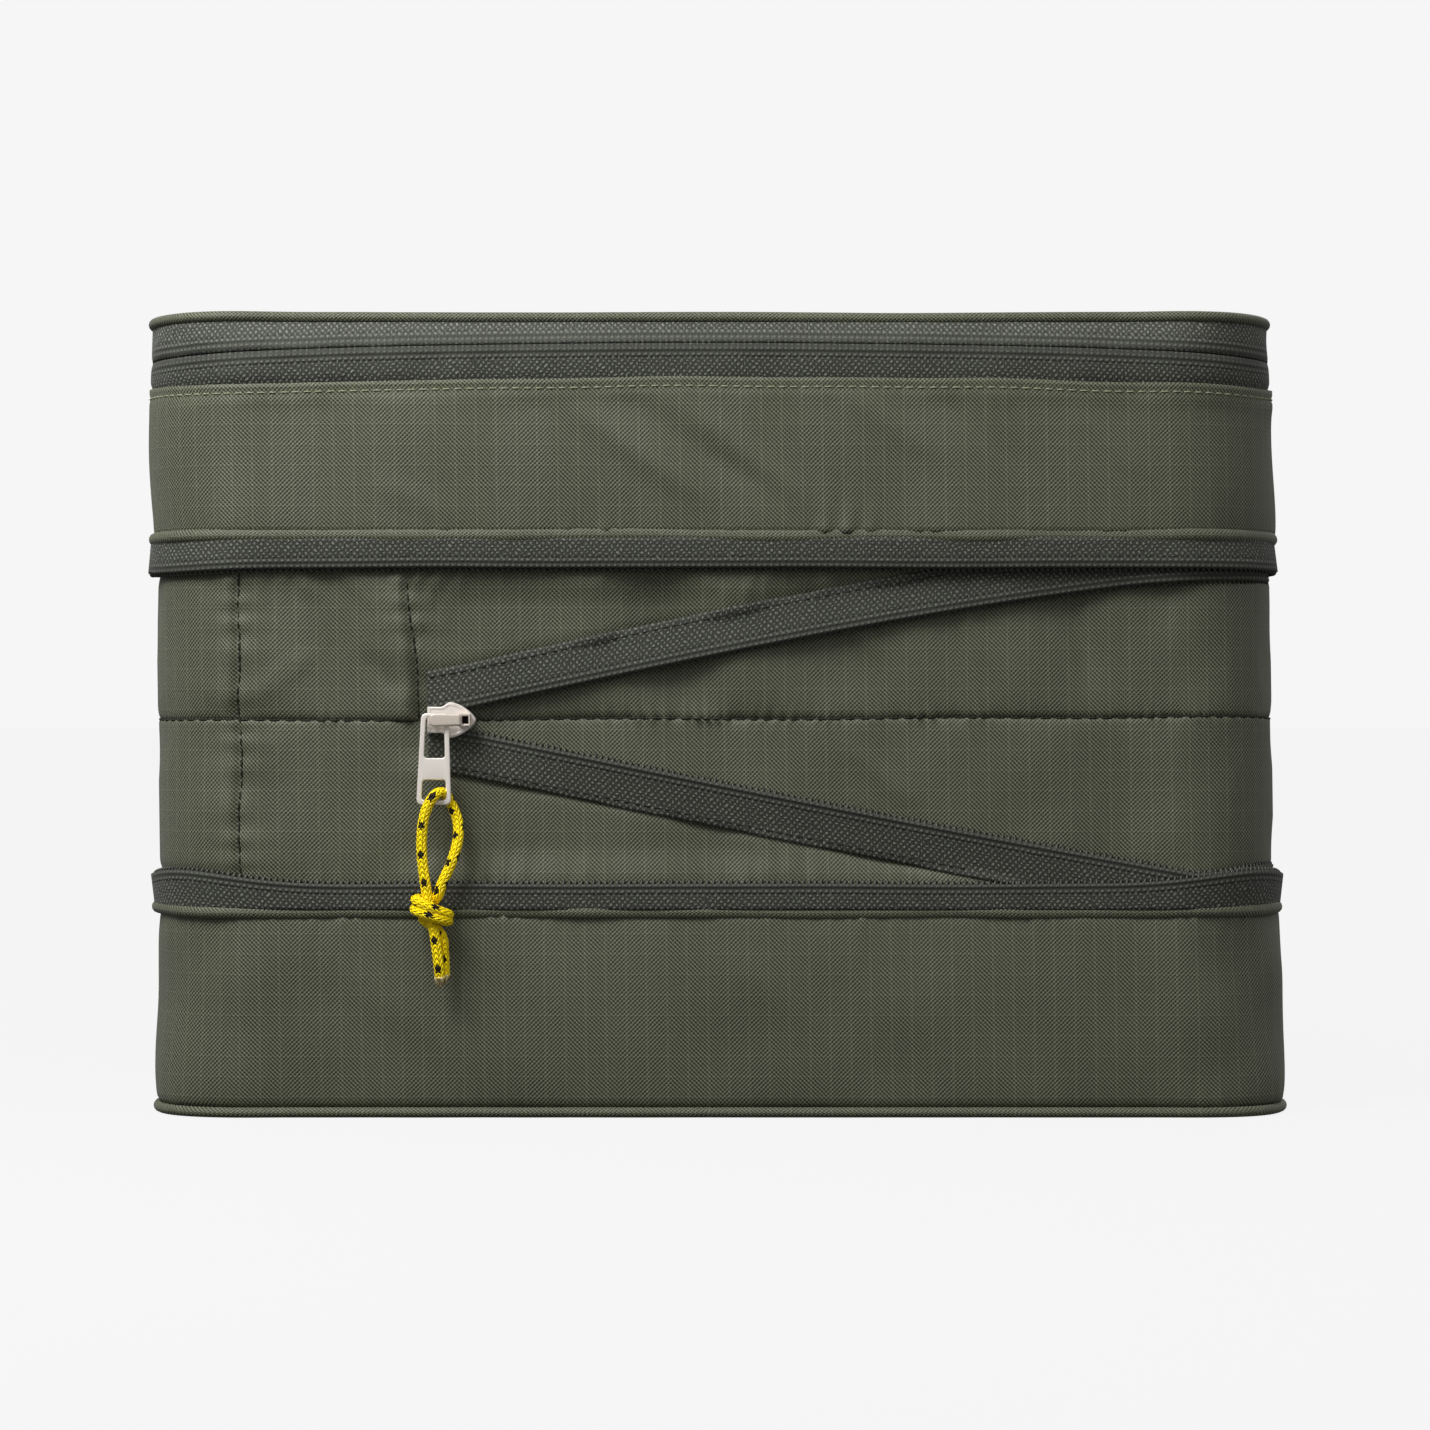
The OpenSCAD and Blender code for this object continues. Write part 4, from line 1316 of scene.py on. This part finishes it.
def shield():
    """A slider's plate: a narrow rear, stepped shoulders and a nose that comes to a soft point."""
    power = 2 / 1.5
    nose = [(-0.2 + 6.2 * math.sin(a) ** power, 4.5 * math.cos(a) ** power)
            for a in np.linspace(0.05, 1.52, 18)]
    upper = [(-6, 3.3), (-2.6, 3.3), (-1.9, 3.5), (-1.2, 4.1), (-0.7, 4.42), *nose]
    lower = [(x, -z) for x, z in reversed(upper)]
    return upper + lower


TAB_RUN = 24.25
TAB_TOP, TAB_FOOT = 1.7, -21.25
SIDE_BAR = 1.25


def tab_side(z, left):
    t = (z - TAB_FOOT) / TAB_RUN
    return -4.3 + 1.25 * t if left else 4.45 - 0.75 * t


def tab_window(z0, z1):
    return [(tab_side(z0, True) + SIDE_BAR, z0), (tab_side(z0, False) - SIDE_BAR, z0),
            (tab_side(z1, False) - SIDE_BAR, z1), (tab_side(z1, True) + SIDE_BAR, z1)]


def slider(prefix, cad_prefix, pull_node, where, body, pull_body):
    """Plates, blade, crown, lock and framed tab, as in the CAD, with cast and pressed detail."""
    outer = plate_mesh([shield()], -OUTER_PLATE, OUTER_PLATE, 0.38, 4)
    rim_out = [(x * 0.99, z * 0.97) for x, z in shield()]
    rim_in = [(x * 0.86, z * 0.8) for x, z in reversed(shield())]
    rim = plate_mesh([rim_out, rim_in], -OUTER_PLATE - 0.12, 0.5, 0.12, 2)
    inner = plate_mesh([shield()], 2.8, 1.0, 0.3, 3)
    blade = box_mesh((1.5, -0.2, -0.25), (5.0, 3.0, 0.25), 0.1)
    put_hardware(f"{prefix}_plates", join_meshes([outer, rim, inner, blade]), where, SATIN_NICKEL, body,
                 (f"{cad_prefix}_body",))

    bar_2d = rounded([(-5.2, -1.65), (2.6, -1.45), (2.6, 1.45), (-5.2, 1.65)], (1.4, 0.4, 0.4, 1.4))
    bar = plate_mesh([bar_2d], -5.75, 1.05, 0.45, 5)
    rear = box_mesh((-4.8, -5.2, -1.1), (-3.7, -1.1, 0.25), 0.25)
    front = box_mesh((1.7, -5.2, -1.2), (2.8, -1.1, 1.2), 0.3)
    put_hardware(f"{prefix}_crown", join_meshes([bar, rear, front]), where, BRUSHED_CROWN, body,
                 (f"{cad_prefix}_crown",))

    frame_out = rounded([(2.3, -1.75), (5.0, -1.6), (5.0, 1.6), (2.3, 1.75)], 0.35)
    frame_in = rounded([(2.85, -0.95), (2.85, 0.95), (4.5, 0.95), (4.5, -0.95)], 0.15)
    cap = plate_mesh([frame_out, frame_in], -4.6, 3.4, 0.2, 2)
    put_hardware(f"{prefix}_lock_window", cap, where, BRUSHED_CROWN, body,
                 (f"{cad_prefix}_lock",))
    # A dark block inside the lock window: painted shade, where the hollow under the frame falls dark.
    shade_block = box_mesh((2.7, -2.4, -1.1), (4.7, -1.25, 1.1), 0.1)
    put_hardware(f"{prefix}_lock_window_painted_shade", shade_block, where, PAINTED_SHADE_DARK, body)

    body_2d = rounded([(tab_side(TAB_FOOT, True), TAB_FOOT), (tab_side(TAB_FOOT, False), TAB_FOOT),
                       (tab_side(TAB_TOP, False), TAB_TOP), (tab_side(TAB_TOP, True), TAB_TOP)],
                      (1.7, 1.7, 1.4, 1.4))
    upper = rounded(tab_window(-9.5, TAB_TOP - 1.0), 0.9)
    lower = rounded(tab_window(TAB_FOOT + SIDE_BAR, -15.0), (1.0, 1.0, 0.8, 0.8))
    tab = plate_mesh([body_2d, upper[::-1], lower[::-1]], -0.55, 1.1, 0.32, 4)
    tilt = math.radians(-3)
    turn = np.array([[1, 0, 0], [0, math.cos(tilt), -math.sin(tilt)], [0, math.sin(tilt), math.cos(tilt)]])
    spin, origin = np.array(where[0], float), np.array(where[1], float)
    hang = origin + spin @ np.array([-4.2, -3.8, 0])
    put_hardware(f"{prefix}_tab", tab, (spin @ turn, hang), SATIN_NICKEL, pull_body,
                 (pull_node,))


def all_sliders():
    straight = np.eye(3)
    slider("compression_zip_slider", "compression_slider", "compression_pull_tab",
           (straight, (SLIDER_X, SLIDER_LO[1] + OUTER_PLATE, SLIDER_Z)), "compression_slider",
           "compression_pull")
    quarter = np.array([[0, -1, 0], [1, 0, 0], [0, 0, 1]])
    for letter, flip in (("a", 1), ("b", -1)):
        lo, hi = cad(f"main_slider_{letter}_body")
        origin = (hi[0] - OUTER_PLATE, (lo[1] + hi[1]) / 2, (lo[2] + hi[2]) / 2)
        turn = quarter @ np.diag([flip, 1, 1])
        slider(f"main_zip_slider_{letter}", f"main_slider_{letter}", f"main_pull_{letter}",
               (turn, origin), f"main_slider_{letter}", f"main_pull_{letter}")


lower_part()
upper_part()
lid()
gusset()
level_zip("level_lower", 1, Z_GUSSET_0, Z_RING_LOWER, "base", "compression_tape_lower",
          "compression_coil_lower")
level_zip("level_upper", -1, Z_GUSSET_1, Z_RING_UPPER, "upper", "compression_tape_upper",
          "compression_coil_upper")
spiral_zip(1, "base", ("spiral_tape_upper", "spiral_coil_upper"))
spiral_zip(-1, "base", ("spiral_tape_lower", "spiral_coil_lower"))
all_sliders()
